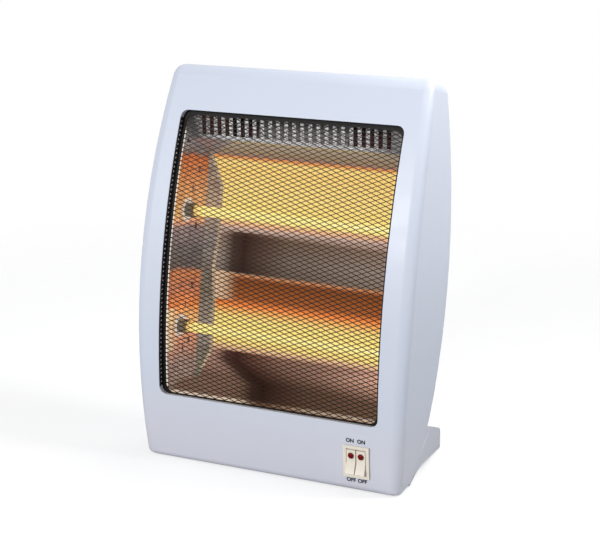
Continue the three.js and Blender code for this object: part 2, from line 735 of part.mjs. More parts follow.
// Diamond net in a grid of quarter diamonds, each crossed by one strand.
function makeNet() {
  const half = guardHalf - GUARD_BORDER + 1;
  const low = guardLow + GUARD_BORDER - 1;
  const high = guardHigh - GUARD_BORDER + 1;
  const cellX = half / GUARD_COLUMNS;
  const cellW = (high - low) / (2 * GUARD_ROWS);
  const lie = Math.atan2(cellW, cellX);
  const alongX = GUARD_STRAND / 2 / Math.sin(lie);
  const alongW = GUARD_STRAND / 2 / Math.cos(lie);
  const points = [];
  const lookup = new Map();
  const indexOf = (x, w) => {
    const key = `${x.toFixed(3)} ${w.toFixed(3)}`;
    if (!lookup.has(key)) {
      lookup.set(key, points.length);
      points.push([x, w]);
    }
    return lookup.get(key);
  };
  const faces = [];
  for (let i = 0; i < 2 * GUARD_COLUMNS; i += 1) {
    for (let j = 0; j < 2 * GUARD_ROWS; j += 1) {
      const rising = (i + j) % 2 === 1;
      const x0 = -half + (rising ? i : i + 1) * cellX;
      const x1 = -half + (rising ? i + 1 : i) * cellX;
      const w0 = low + j * cellW;
      const w1 = w0 + cellW;
      const sign = Math.sign(x1 - x0);
      const band = [
        indexOf(x0, w0),
        indexOf(x0 + sign * alongX, w0),
        indexOf(x1, w1 - alongW),
        indexOf(x1, w1),
        indexOf(x1 - sign * alongX, w1),
        indexOf(x0, w0 + alongW),
      ];
      for (let k = 1; k < 5; k += 1) {
        const [a, b, c] = [band[0], band[k], band[k + 1]];
        faces.push(sign > 0 ? [a, b, c] : [a, c, b]);
      }
    }
  }
  return thickSheet(points, faces);
}

// Sheet of (x, w) triangles given the guard's curve and thickness.
function thickSheet(points, faces) {
  const count = points.length;
  const place = (offset) => points.map(([x, w]) => new THREE.Vector3(x, guardAt(w) + offset, w));
  const all = [...place(-GUARD_THICKNESS / 2), ...place(GUARD_THICKNESS / 2)];
  const solid = faces.flatMap(([a, b, c]) => [[a, b, c], [a + count, c + count, b + count]]);
  const open = new Map();
  faces.forEach((face) => {
    face.forEach((from, k) => {
      const to = face[(k + 1) % 3];
      const back = `${to} ${from}`;
      if (open.has(back)) open.delete(back);
      else open.set(`${from} ${to}`, [from, to]);
    });
  });
  open.forEach(([from, to]) => {
    solid.push([to, from, from + count], [to, from + count, to + count]);
  });
  return toManifold(facesToGeometry(all, solid));
}

function makeGuard() {
  const front = (w) => guardAt(w) - GUARD_BORDER_THICKNESS / 2;
  const back = (w) => guardAt(w) + GUARD_BORDER_THICKNESS / 2;
  const plate = arcBlock(guardHalf, guardLow, guardHigh, front, back);
  const window = prismY(
    roundedRectangle(
      guardHalf - GUARD_BORDER,
      guardLow + GUARD_BORDER,
      guardHigh - GUARD_BORDER,
      WINDOW_CORNER / 2,
    ),
    -DEEP,
    DEEP,
  );
  return makeNet().add(plate.subtract(window));
}

const behindGuard = () => arcBlock(
  HALF_WIDTH,
  guardLow - WALL,
  guardHigh + WALL,
  (w) => guardAt(w) + GUARD_BORDER_THICKNESS / 2 + FIT_GAP,
  () => DEEP * 2,
);

// ---------------------------------------------------------------- reflector and its plates

function reflectorFace() {
  const floor = (w, side) => [TROUGH_BACK, w + side * TROUGH_FLOOR_HALF];
  return [
    [guardAt(lipTop), lipTop],
    [VENT_PANEL_DEPTH, WINDOW_TOP - VENT_PANEL_HEIGHT],
    [TROUGH_EDGE_DEPTH, UPPER_TUBE_W + TROUGH_TOP_RISE],
    floor(UPPER_TUBE_W, 1),
    floor(UPPER_TUBE_W, -1),
    [CREASE_DEPTH, CREASE_W],
    floor(LOWER_TUBE_W, 1),
    floor(LOWER_TUBE_W, -1),
    [TROUGH_EDGE_DEPTH, LOWER_TUBE_W - TROUGH_BOTTOM_DROP],
    [guardAt(lipBottom), lipBottom],
  ];
}

// Offsets an open line of [v, w] points to its left by a distance, mitred at the bends.
function offsetLine(line, distance) {
  const normal = (a, b) => {
    const length = Math.hypot(b[0] - a[0], b[1] - a[1]);
    return [-(b[1] - a[1]) / length, (b[0] - a[0]) / length];
  };
  return line.map((point, index) => {
    const before = index > 0 ? normal(line[index - 1], point) : normal(point, line[index + 1]);
    const after = index < line.length - 1 ? normal(point, line[index + 1]) : before;
    const scale = distance / (1 + before[0] * after[0] + before[1] * after[1]);
    return [point[0] + (before[0] + after[0]) * scale, point[1] + (before[1] + after[1]) * scale];
  });
}

function sheetAlongX(line, half) {
  return prismX([...line, ...offsetLine(line, SHEET).reverse()], -half, half);
}

function ventSlots() {
  const middle = WINDOW_TOP - VENT_BELOW_TOP - VENT_LENGTH / 2;
  const reach = WINDOW_HALF_WIDTH - VENT_FROM_SIDE;
  return Array.from({ length: VENT_COUNT }, (_, i) => {
    const x = THREE.MathUtils.lerp(-reach, reach, i / (VENT_COUNT - 1));
    return box(VENT_WIDTH, TROUGH_BACK, VENT_LENGTH, x, TROUGH_BACK / 2, middle);
  });
}

const plateFaceX = PLATE_X - SHEET / 2 - FIT_GAP;

// Room between the end plates, which the reflector fills from side to side.
function betweenPlates() {
  const slope = (PLATE_X - PLATE_BACK_X) / (TROUGH_BACK - PLATE_BEND_DEPTH);
  const inner = plateFaceX - 0.4;
  const deep = TROUGH_BACK + SHEET * 4;
  const backX = inner - slope * (deep - PLATE_BEND_DEPTH);
  const points = [
    [-inner, -SHEET],
    [inner, -SHEET],
    [inner, PLATE_BEND_DEPTH],
    [backX, deep],
    [-backX, deep],
    [-inner, PLATE_BEND_DEPTH],
  ];
  const height = lipTop - lipBottom + CUT_BEYOND * 2;
  const geometry = new THREE.ExtrudeGeometry(outline(points), { depth: height, bevelEnabled: false });
  return toManifold(geometry.translate(0, 0, lipBottom - CUT_BEYOND));
}

function makeReflector() {
  const line = reflectorFace();
  const sheet = sheetAlongX(line, PLATE_X);
  return cut(sheet.intersect(betweenPlates()).intersect(behindGuard()), ventSlots());
}

const tubeRows = { upper: UPPER_TUBE_W, lower: LOWER_TUBE_W };

function plateSlots(w) {
  const slot = box(PLATE_BEND_IN, PLATE_SLOT_WIDTH, PLATE_SLOT_LENGTH);
  return PLATE_SLOTS.map(([behind, above]) => move(slot, PLATE_X, TUBE_DEPTH + behind, w + above));
}

function makeEndPlate(side) {
  const back = TROUGH_BACK + SHEET * 3;
  const slope = (PLATE_X - PLATE_BACK_X) / (TROUGH_BACK - PLATE_BEND_DEPTH);
  const face = [
    [PLATE_X - SHEET / 2, 0],
    [PLATE_X - SHEET / 2, PLATE_BEND_DEPTH],
    [PLATE_X - SHEET / 2 - slope * (back - PLATE_BEND_DEPTH), back],
  ];
  const outer = face.map(([x, v]) => [x + SHEET * 1.3, v]).reverse();
  const geometry = new THREE.ExtrudeGeometry(outline([...face, ...outer]), {
    depth: lipTop - lipBottom,
    bevelEnabled: false,
  });
  const plate = toManifold(geometry.translate(0, 0, lipBottom)).intersect(behindGuard());
  const holes = Object.values(tubeRows).map((w) => move(
    rod(CAP_RADIUS + FIT_GAP, PLATE_X - CUT_BEYOND, PLATE_X + CUT_BEYOND, 'x', 24),
    0,
    TUBE_DEPTH,
    w,
  ));
  const slots = Object.values(tubeRows).flatMap(plateSlots);
  const solid = cut(plate, [...holes, ...slots]);
  return side > 0 ? solid : solid.mirror([1, 0, 0]);
}

function makeHeatShield() {
  const top = WINDOW_TOP - SHIELD_BELOW_TOP;
  const bottom = WINDOW_BOTTOM + SHIELD_ABOVE_BOTTOM;
  const line = [
    [SHIELD_DEPTH - SHIELD_FOLD, top],
    [SHIELD_DEPTH, top],
    [SHIELD_DEPTH, bottom],
    [SHIELD_DEPTH - SHIELD_FOLD, bottom],
  ];
  return sheetAlongX(line, PLATE_X - SHIELD_INSIDE_PLATE);
}

// ---------------------------------------------------------------- heating tubes
function makeTube(w) {
  const inner = TUBE_RADIUS - TUBE_WALL;
  return move(turned([
    [inner, -TUBE_HALF_LENGTH],
    [TUBE_RADIUS, -TUBE_HALF_LENGTH],
    [TUBE_RADIUS, TUBE_HALF_LENGTH],
    [inner, TUBE_HALF_LENGTH],
    [inner, -TUBE_HALF_LENGTH],
  ], 'x', 20), 0, TUBE_DEPTH, w);
}

const coilHalf = TUBE_HALF_LENGTH - FIT_GAP;
const makeCoil = (w) => move(rod(COIL_RADIUS, -coilHalf, coilHalf, 'x', 10), 0, TUBE_DEPTH, w);

// Ceramic cap on the right: flange outside the end plate, socket for the glass inside.
function makeCap(side, w) {
  const socket = TUBE_RADIUS + CAP_BORE_GAP;
  const socketEnd = TUBE_HALF_LENGTH + FIT_GAP;
  const flangeStart = PLATE_X + SHEET + FIT_GAP;
  const cap = turned([
    [0, socketEnd],
    [socket, socketEnd],
    [socket, CAP_INNER_X],
    [CAP_RADIUS, CAP_INNER_X],
    [CAP_RADIUS, flangeStart],
    [CAP_FLANGE_RADIUS, flangeStart],
    [CAP_FLANGE_RADIUS, flangeStart + CAP_FLANGE],
    [CAP_RADIUS, flangeStart + CAP_FLANGE],
    [CAP_RADIUS, CAP_OUTER_X],
    [0, CAP_OUTER_X],
  ], 'x', 24);
  const slot = box(
    TERMINAL_ROOT,
    TERMINAL_THICKNESS + FIT_GAP * 2,
    TERMINAL_WIDTH + FIT_GAP * 2,
    CAP_OUTER_X,
  );
  const solid = move(cap.subtract(slot), 0, TUBE_DEPTH, w);
  return side > 0 ? solid : solid.mirror([1, 0, 0]);
}

function makeTerminal(side, w) {
  const start = CAP_OUTER_X - TERMINAL_ROOT / 2 + FIT_GAP;
  const centre = start + TERMINAL_LENGTH / 2;
  return box(TERMINAL_LENGTH, TERMINAL_THICKNESS, TERMINAL_WIDTH, side * centre, TUBE_DEPTH, w);
}

// ---------------------------------------------------------------- rocker switch
// Switch axes: x right, y into the panel, z up the panel; origin on the panel face.
const switchTilt = Math.atan(SWITCH_W / FRONT_RADIUS);
const SWITCH_PLACE = new THREE.Matrix4()
  .makeRotationX(-switchTilt)
  .setPosition(SWITCH_X, frontAt(SWITCH_W), SWITCH_W);

const bezelFace = -BEZEL_PROUD;
const pivotDepth = bezelFace + PIVOT_BELOW_FACE;
const wellHalfHeight = ROCKER_HALF_HEIGHT + ROCKER_END_GAP;
const wellHalfWidth = (ROCKER_SPACING + ROCKER_WIDTH) / 2 + ROCKER_SIDE_GAP;

function makeSwitchHousing() {
  const bezel = box(BEZEL_WIDTH, BEZEL_PROUD - FIT_GAP, BEZEL_HEIGHT, 0, (bezelFace - FIT_GAP) / 2, 0);
  const body = box(
    SWITCH_BODY_WIDTH,
    SWITCH_BODY_DEPTH + 1,
    SWITCH_BODY_HEIGHT,
    0,
    (SWITCH_BODY_DEPTH - 1) / 2,
    0,
  );
  const well = box(
    wellHalfWidth * 2,
    SWITCH_WELL_DEPTH * 2,
    wellHalfHeight * 2,
    0,
    bezelFace,
    0,
  );
  const pinSeat = move(
    rod(PIN_RADIUS + PIN_RUNNING_GAP, -SWITCH_BODY_WIDTH, SWITCH_BODY_WIDTH, 'x'),
    0,
    pivotDepth,
    0,
  );
  return cut(join([bezel, body]), [well, pinSeat]);
}

function makeRockerPin() {
  const half = SWITCH_BODY_WIDTH / 2 - FIT_GAP;
  return move(rod(PIN_RADIUS, -half, half, 'x'), 0, pivotDepth, 0);
}

const rockerX = (side) => (side * ROCKER_SPACING) / 2;

// Pressed at the top: upper half flush with the bezel, lower half standing out.
// The lower end is rounded about the pin, so it clears the well as the rocker tilts.
function makeRocker(side) {
  const endRadius = wellHalfHeight - ROCKER_END_CLEARANCE;
  const sine = Math.sin(ROCKER_THROW);
  const rise = PIVOT_BELOW_FACE * sine;
  const faceLength = Math.sqrt(rise ** 2 + endRadius ** 2 - PIVOT_BELOW_FACE ** 2) - rise;
  const tipAngle = Math.asin((PIVOT_BELOW_FACE + faceLength * sine) / endRadius);
  const lipAngle = Math.asin(ROCKER_LIP / endRadius);
  const end = [0, 1 / 3, 2 / 3, 1].map((share) => {
    const angle = THREE.MathUtils.lerp(tipAngle, lipAngle, share);
    return [pivotDepth - endRadius * Math.sin(angle), -endRadius * Math.cos(angle)];
  });
  const backDepth = bezelFace + ROCKER_THICKNESS;
  const profile = [
    [bezelFace, ROCKER_HALF_HEIGHT],
    [bezelFace, 0],
    ...end,
    [backDepth, -ROCKER_HALF_HEIGHT / 2.5],
    [backDepth + 0.6, ROCKER_HALF_HEIGHT / 3],
    [bezelFace + 3, ROCKER_HALF_HEIGHT],
  ];
  const x = rockerX(side);
  const body = prismX(profile, x - ROCKER_WIDTH / 2, x + ROCKER_WIDTH / 2);
  const bore = move(rod(PIN_RADIUS + PIN_RUNNING_GAP, x - ROCKER_WIDTH, x + ROCKER_WIDTH, 'x'), 0, pivotDepth, 0);
  const seat = rod(LENS_RADIUS + FIT_GAP / 2, bezelFace - 1, bezelFace + LENS_SEAT + FIT_GAP / 2, 'y', 20);
  return cut(body, [bore, move(seat, x, 0, LENS_FROM_CENTRE)]);
}

function makeLens(side) {
  const back = bezelFace + LENS_SEAT;
  const dome = [0.95, 0.75, 0.45].map((share) => [
    LENS_RADIUS * share,
    bezelFace - LENS_HEIGHT * Math.sqrt(1 - share * share),
  ]);
  return move(turned([
    [0, back],
    [LENS_RADIUS, back],
    [LENS_RADIUS, bezelFace],
    ...dome,
    [0, bezelFace - LENS_HEIGHT],
  ], 'y', 20), rockerX(side), 0, LENS_FROM_CENTRE);
}

function makeSwitchTab(side, row) {
  const start = SWITCH_BODY_DEPTH + FIT_GAP;
  return box(TAB_WIDTH, TAB_LENGTH, TAB_THICKNESS, rockerX(side), start + TAB_LENGTH / 2, row);
}

function switchOpening() {
  const hole = box(
    SWITCH_BODY_WIDTH + FIT_GAP * 2,
    SWITCH_BODY_DEPTH,
    SWITCH_BODY_HEIGHT + FIT_GAP * 2,
  );
  return hole.transform(SWITCH_PLACE.toArray());
}

// ---------------------------------------------------------------- tip-over switch
const tipFloor = WALL + FIT_GAP;

function makeTipBracket() {
  const half = TIP_WIDTH / 2;
  const cheek = (side) => box(
    TIP_PLATE,
    TIP_DEPTH,
    TIP_TOP_HEIGHT - tipFloor,
    TIP_X + side * (half - TIP_PLATE / 2),
    TIP_Y,
    (TIP_TOP_HEIGHT + tipFloor) / 2,
  );
  const top = box(TIP_WIDTH, TIP_DEPTH, TIP_PLATE, TIP_X, TIP_Y, TIP_TOP_HEIGHT - TIP_PLATE / 2);
  const seat = move(
    rod(TIP_PIN_RADIUS + FIT_GAP / 3, TIP_X - TIP_WIDTH, TIP_X + TIP_WIDTH, 'x'),
    0,
    TIP_Y,
    TIP_PIVOT_HEIGHT,
  );
  return join([cheek(-1), cheek(1), top]).subtract(seat);
}

const makeTipPin = () => move(
  rod(TIP_PIN_RADIUS, TIP_X - TIP_WIDTH / 2, TIP_X + TIP_WIDTH / 2, 'x'),
  0,
  TIP_Y,
  TIP_PIVOT_HEIGHT,
);

function makePendulum() {
  const half = TIP_ARM_THICKNESS / 2;
  const eye = rod(TIP_EYE_RADIUS, TIP_X - half, TIP_X + half, 'x');
  const arm = box(TIP_ARM_THICKNESS * 0.8, TIP_ARM_WIDTH, TIP_BOB_DROP, TIP_X, 0, -TIP_BOB_DROP / 2);
  const bobHalf = TIP_BOB_THICKNESS / 2;
  const bob = move(rod(TIP_BOB_RADIUS, TIP_X - bobHalf, TIP_X + bobHalf, 'x'), 0, 0, -TIP_BOB_DROP);
  const bore = rod(TIP_PIN_RADIUS + PIN_RUNNING_GAP, TIP_X - TIP_WIDTH, TIP_X + TIP_WIDTH, 'x');
  return move(join([eye, arm, bob]).subtract(bore), 0, TIP_Y, TIP_PIVOT_HEIGHT);
}

const makeMicroSwitch = () => box(
  MICRO_LENGTH,
  MICRO_THICKNESS,
  MICRO_HEIGHT,
  TIP_X,
  TIP_Y,
  TIP_TOP_HEIGHT + FIT_GAP + MICRO_HEIGHT / 2,
);

// ---------------------------------------------------------------- wiring
function makeTerminalBlock() {
  const base = tipFloor;
  const block = box(BLOCK_LENGTH, BLOCK_DEPTH, BLOCK_HEIGHT, BLOCK_X, BLOCK_Y, base + BLOCK_HEIGHT / 2);
  const bores = [];
  for (let way = 0; way < BLOCK_WAYS; way += 1) {
    bores.push(move(
      rod(BLOCK_BORE / 2, BLOCK_Y - BLOCK_DEPTH, BLOCK_Y + BLOCK_DEPTH, 'y', 10),
      blockWayX(way),
      0,
      base + BLOCK_HEIGHT / 2,
    ));
  }
  return cut(block, bores);
}

// Insulated wire along a smooth run of points.
function makeLead(points) {
  const path = new THREE.CatmullRomCurve3(points, false, 'centripetal');
  const section = new THREE.Shape();
  for (let i = 0; i < LEAD_SIDES; i += 1) {
    const angle = (i / LEAD_SIDES) * Math.PI * 2;
    const x = LEAD_RADIUS * Math.cos(angle);
    const y = LEAD_RADIUS * Math.sin(angle);
    if (i) section.lineTo(x, y);
    else section.moveTo(x, y);
  }
  section.closePath();
  const steps = Math.max(6, Math.round(path.getLength() / LEAD_STEP));
  return toManifold(new THREE.ExtrudeGeometry(section, { steps, extrudePath: path, bevelEnabled: false }));
}

const LOWER_RUN_X = PLATE_X - LOWER_RUN_INSIDE_PLATE;
const UPPER_RUN_X = PLATE_X - UPPER_RUN_INSIDE_PLATE;

const inBody = (x, v, w) => new THREE.Vector3(x, v, w);
const onFloor = (x, y, z) => new THREE.Vector3(x, y, z).applyMatrix4(BODY_PLACE.clone().invert());

// From a tube terminal outwards, back past the end plate and down to an upright run.
function terminalRun(side, w, runX) {
  const tip = CAP_OUTER_X - TERMINAL_ROOT / 2 + FIT_GAP * 2 + TERMINAL_LENGTH;
  return [
    inBody(side * tip, TUBE_DEPTH, w),
    inBody(side * (tip + 3), TUBE_DEPTH + 0.5, w),
    inBody(side * (tip + 4.5), TUBE_DEPTH + 6, w - 3),
    inBody(side * (tip - 2), TUBE_DEPTH + 17, w - 12),
    inBody(side * runX, LEAD_RUN_DEPTH, w - LEAD_TERMINAL_DROP),
    inBody(side * runX, LEAD_RUN_DEPTH, lipBottom + LEAD_RUN_ABOVE_LIP),
  ];
}

// From behind a switch tab to its end.
function tabRun(side, row, offset = 0) {
  const end = SWITCH_BODY_DEPTH + TAB_LENGTH + FIT_GAP * 2;
  const at = (y) => new THREE.Vector3(rockerX(side) + offset, y, row).applyMatrix4(SWITCH_PLACE);
  return [at(end + 9), at(end + 4), at(end)];
}

const blockWayX = (way) => BLOCK_X + (way - (BLOCK_WAYS - 1) / 2) * (BLOCK_LENGTH / BLOCK_WAYS);

function blockRun(way) {
  const z = tipFloor + BLOCK_HEIGHT / 2;
  const back = BLOCK_Y + BLOCK_DEPTH / 2 + FIT_GAP;
  return [onFloor(blockWayX(way), back, z), onFloor(blockWayX(way), back + 5, z)];
}

function microRun(drop) {
  const z = TIP_TOP_HEIGHT + FIT_GAP + MICRO_HEIGHT / 2 + drop;
  const end = TIP_X + MICRO_LENGTH / 2 + FIT_GAP;
  return [onFloor(end, TIP_Y, z), onFloor(end + 5, TIP_Y, z)];
}

function makeLeads() {
  const behindTip = TIP_Y + TIP_BOB_DROP * 0.8;
  const [supplyRow, loadRow] = TAB_ROWS;
  const level = (height) => tipFloor + height;
  const neutral = (way, w, runX, height) => [
    ...blockRun(way),
    onFloor(BLOCK_X - BLOCK_LENGTH, behindTip, level(height)),
    onFloor(TIP_X, behindTip + 2, level(height + 3)),
    onFloor(NEUTRAL_SWING - runX, behindTip + NEUTRAL_BEHIND_BOB, level(height + NEUTRAL_CLIMB)),
    ...terminalRun(-1, w, runX).reverse(),
  ];
  const load = (side, w, runX) => [
    ...terminalRun(1, w, runX),
    inBody(runX, LEAD_RUN_DEPTH, lipBottom),
    inBody((runX + SWITCH_X + rockerX(side)) / 2, LEAD_RUN_DEPTH - 8, lipBottom - 11),
    ...tabRun(side, loadRow),
  ];
  const jumperFrom = tabRun(-1, supplyRow, LEAD_PAIR_OFFSET);
  const jumperTo = tabRun(1, supplyRow);
  return {
    lead_neutral_upper: neutral(0, UPPER_TUBE_W, UPPER_RUN_X, UPPER_NEUTRAL_RISE),
    lead_neutral_lower: neutral(1, LOWER_TUBE_W, LOWER_RUN_X, LOWER_NEUTRAL_RISE),
    lead_load_upper: load(-1, UPPER_TUBE_W, UPPER_RUN_X),
    lead_load_lower: load(1, LOWER_TUBE_W, LOWER_RUN_X),
    lead_line: [
      ...blockRun(2),
      onFloor(BLOCK_X - BLOCK_LENGTH / 2, TIP_Y + BLOCK_DEPTH, level(BLOCK_HEIGHT * 2)),
      ...microRun(-MICRO_HEIGHT / 4).reverse(),
    ],
    lead_supply: [
      ...microRun(MICRO_HEIGHT / 4),
      onFloor(BLOCK_X, TIP_Y + BLOCK_DEPTH / 2, TIP_TOP_HEIGHT),
      ...tabRun(-1, supplyRow, -LEAD_PAIR_OFFSET),
    ],
    lead_jumper: [jumperFrom[2], jumperFrom[1], jumperTo[1], jumperTo[2]],
  };
}

// ---------------------------------------------------------------- scene graph
const COLOURS = {
  shell: [0xd3d9e6, 0.45, 0.0],
  black: [0x141416, 0.5, 0.3],
  bright: [0xd9d9d4, 0.18, 1.0],
  zinc: [0xb4b6b8, 0.4, 0.9],
  glass: [0xffb347, 0.25, 0.0],
  coil: [0xff8a1e, 0.5, 0.4],
  ceramic: [0xe9e7e0, 0.6, 0.0],
  cream: [0xe8e0c8, 0.4, 0.0],
  lens: [0x8e1414, 0.2, 0.0],
  brass: [0xc9a85a, 0.3, 1.0],
  rubber: [0x2a2a2c, 0.9, 0.0],
  wire: [0x8a3b2e, 0.6, 0.0],
};

function mesh(name, solid, look) {
  const [color, roughness, metalness] = COLOURS[look];
  const material = new THREE.MeshStandardMaterial({ color, roughness, metalness });
  const piece = new THREE.Mesh(toGeometry(solid), material);
  piece.name = name;
  return piece;
}

function groupAt(matrix) {
  const group = new THREE.Group();
  matrix.decompose(group.position, group.quaternion, group.scale);
  return group;
}

const body = groupAt(BODY_PLACE);
body.add(mesh('front_shell', makeFrontShell(switchOpening()), 'shell'));
body.add(mesh('rear_shell', makeRearShell(), 'shell'));
body.add(mesh('guard_mesh', makeGuard(), 'black'));
body.add(mesh('reflector', makeReflector(), 'bright'));
body.add(mesh('heat_shield', makeHeatShield(), 'zinc'));
[['left', -1], ['right', 1]].forEach(([hand, side]) => {
  body.add(mesh(`end_plate_${hand}`, makeEndPlate(side), 'bright'));
  Object.entries(tubeRows).forEach(([level, w]) => {
    body.add(mesh(`tube_cap_${level}_${hand}`, makeCap(side, w), 'ceramic'));
    body.add(mesh(`tube_terminal_${level}_${hand}`, makeTerminal(side, w), 'brass'));
  });
});
Object.entries(tubeRows).forEach(([level, w]) => {
  body.add(mesh(`quartz_tube_${level}`, makeTube(w), 'glass'));
  body.add(mesh(`heating_coil_${level}`, makeCoil(w), 'coil'));
});
postPlaces.forEach((place, index) => {
  body.add(mesh(`casing_screw_${index + 1}`, makeScrew(place), 'zinc'));
});

const switchGroup = groupAt(SWITCH_PLACE);
switchGroup.add(mesh('switch_housing', makeSwitchHousing(), 'cream'));
switchGroup.add(mesh('rocker_pin', makeRockerPin(), 'zinc'));
[['left', -1], ['right', 1]].forEach(([hand, side]) => {
  switchGroup.add(mesh(`rocker_${hand}`, makeRocker(side), 'cream'));
  switchGroup.add(mesh(`lamp_lens_${hand}`, makeLens(side), 'lens'));
  TAB_ROWS.forEach((row, index) => {
    const kind = index ? 'load' : 'supply';
    switchGroup.add(mesh(`switch_tab_${kind}_${hand}`, makeSwitchTab(side, row), 'brass'));
  });
});
body.add(switchGroup);
Object.entries(makeLeads()).forEach(([name, points]) => body.add(mesh(name, makeLead(points), 'wire')));

const upright = new THREE.Group();
upright.add(mesh('tip_bracket', makeTipBracket(), 'zinc'));
upright.add(mesh('tip_pin', makeTipPin(), 'zinc'));
upright.add(mesh('tip_pendulum', makePendulum(), 'brass'));
upright.add(mesh('tip_micro_switch', makeMicroSwitch(), 'black'));
upright.add(mesh('terminal_block', makeTerminalBlock(), 'ceramic'));
upright.add(mesh('cord_gland', makeGland(), 'rubber'));
upright.add(mesh('foot_pad_left', makePad(-1), 'rubber'));
upright.add(mesh('foot_pad_right', makePad(1), 'rubber'));

const assembly = new THREE.Group();
assembly.add(body, upright);
assembly.updateMatrixWorld(true);
const extent = new THREE.Box3().setFromObject(assembly, true);
assembly.position.set(0, -(extent.min.y + extent.max.y) / 2, -extent.min.z);

const heater = new THREE.Group();
heater.add(assembly);

export default heater;
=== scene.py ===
"""Halogen heater with its tubes lit: looks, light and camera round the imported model."""
import json
import math

import bmesh
import bpy
from mathutils import Matrix, Vector


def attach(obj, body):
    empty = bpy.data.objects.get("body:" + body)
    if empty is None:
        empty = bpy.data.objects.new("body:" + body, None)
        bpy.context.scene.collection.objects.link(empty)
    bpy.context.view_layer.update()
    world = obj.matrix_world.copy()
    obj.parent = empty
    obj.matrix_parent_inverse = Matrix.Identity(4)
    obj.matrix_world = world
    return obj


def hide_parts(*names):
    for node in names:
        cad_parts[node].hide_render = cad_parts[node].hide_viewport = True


MM = 0.001

# ---------------------------------------------------------------- sizes shared with the solids, mm
LEAN = math.radians(10.6)
APEX_Y = -55.784
APEX_Z = 186.8
FRONT_RADIUS = 557.0
SIDE_BOW_RADIUS = 3060.0
SEAM_RADIUS = 528.0
WINDOW_HALF_WIDTH = 111.8
WINDOW_TOP = 154.1
WINDOW_BOTTOM = -118.1
WINDOW_CORNER = 7.0
GUARD_SETBACK = 7.4
TROUGH_BACK = 78.0
TROUGH_FLOOR_HALF = 25.0
TROUGH_EDGE_DEPTH = 70.0
TROUGH_TOP_W = 113.0
TROUGH_BOTTOM_W = -108.0
CREASE_DEPTH = 76.0
CREASE_W = 0.45
TUBE_DEPTH = 50.0
UPPER_TUBE_W = 57.5
LOWER_TUBE_W = -56.5

# ------------------------------------------------------------------ guard, mm
DIAMOND_LONG = 10.0
DIAMOND_SHORT = 4.3
NET_TUCK = 0.5
STRAND_WIDTH = 0.66
STRAND_THICKNESS = 0.45
STRAND_TWIST = math.radians(12)
BORDER_SIDE = 3.4
BORDER_TOP = 4.4
BORDER_BOTTOM = 1.2
BORDER_THICKNESS = 1.6
BORDER_OVERLAP = 3.7
BORDER_CORNER = WINDOW_CORNER + 2
LONGEST_RUN = 9.0
CORNER_STEPS = 6
FLANGE_GAP = 0.5
FLANGE_FRONT = 0.8
FLANGE_STRAND_BACK = GUARD_SETBACK - 0.6
FLANGE_STRAND_WIDTH = 1.0
FLANGE_STRAND_THICKNESS = 0.6
FLANGE_RAIL_BACK = GUARD_SETBACK - 0.8
FLANGE_RAIL_WIDTH = 0.9
FLANGE_RAIL_THICKNESS = 0.7

# ------------------------------------------------------------------ words at the switch, mm
LETTER_HEIGHT = 3.9
SIZE_PER_HEIGHT = 1.38
LETTER_RAISE = 0.04
LETTER_WEIGHT = 0.2
LETTER_PROUD = 0.06
WORD_SPACING = 11.1
ON_WIDTH = 7.7
ON_X = 90.4
ON_W = -134.3
OFF_WIDTH = 9.1
OFF_X = 90.9
OFF_W = -173.2

# ------------------------------------------------------------------ mesh shading
WELD_DISTANCE = 0.002 * MM
SHARP_ANGLE = math.radians(32)
SMOOTH_FACE_ANGLE = math.radians(4)

# ------------------------------------------------ where materials change and where glow, light and shade are painted, metres in the body's axes
NEUTRAL_REACH = (-0.165, -0.085)
# painted shade on the casing's inner faces behind the vents, over this reach and past this depth
SHADED_INSIDE_REACH = (0.104, 0.158)
SHADED_INSIDE_FROM_DEPTH = 0.050
# painted shade on the shield behind the vents: lighter across this middle, over this reach and in
# front of this depth
PALE_SHIELD_ACROSS = (-0.060, 0.034)
SHIELD_SHADE_REACH = 0.108
SHIELD_SHADE_DEPTH = 0.088
TROUGH_TOP_REACH = 0.1132
CREASE_END_ACROSS = (-0.088, -0.066)
CREASE_REACH = (-0.029, -0.001)
# painted shade towards both ends of the vent panel
PANEL_SHADE_ACROSS = (0.062, 0.104)
PANEL_SHADE_SHARE = 0.8
UPPER_SHADE_REACH = (-0.001, 0.0385)
LOWER_SHADE_TOP = -0.0795
SLANT_TOP = -0.088
SHADE_SLANT = 1.7
PLATE_BEND_DEPTH = (0.0669, 0.0677)
LIGHT_EDGE_WIDTH = (0.0012, 0.0020)
LIGHT_EDGE_REACH = (-0.100, 0.113)
# painted light: a pale patch on the end plate by the lower tube
LIT_PATCH_REACH = (-0.080, -0.038)
LIT_PATCH_DEPTH = (0.030, 0.046)
LIT_PATCH_SHARE = 0.6
CAP_RING = (0.0105, 0.0125)
CAP_SHARE = 0.85
# painted shade on the end plate past this depth and above this reach
BEHIND_VENTS_DEPTH = 0.040
BEHIND_VENTS_REACH = 0.1225
FRONT_LINE_DEPTH = (0.0086, 0.0128)
TUBE_END_ACROSS = (0.096, 0.106)
COIL_START_ACROSS = (-0.107, -0.1)

# ------------------------------------------------------------------ looks and light
MOULDED_SHADE = 0.97
STREAK_SHADE = 0.8
GLOW_STRENGTH = 0.92
PLATE_GLOW_STRENGTH = 0.9
TUBE_GLOW_STRENGTH = 0.93
COIL_GLOW = (0.6, 1.2)
SHADE_GAIN = 1.9
WORLD_COLOUR = (0.965, 0.975, 1.0)
WORLD_STRENGTH = 0.34
FLOOR_REACH = 1.2
FLOOR_DROP = 0.0002
FLOOR_FADE = (0.35, 1.1)
FLOOR_SHOWN = 0.55

# ---------------------------------------------------- camera, its lens in mm and place in metres
CAMERA_LENS = 86.96
CAMERA_SENSOR = 36.0
CAMERA_PLACE = (0.5328, APEX_Y * MM - 1.153171, 0.5684)
CAMERA_TILT = math.radians(73.506)
CAMERA_TURN = math.radians(23.5)

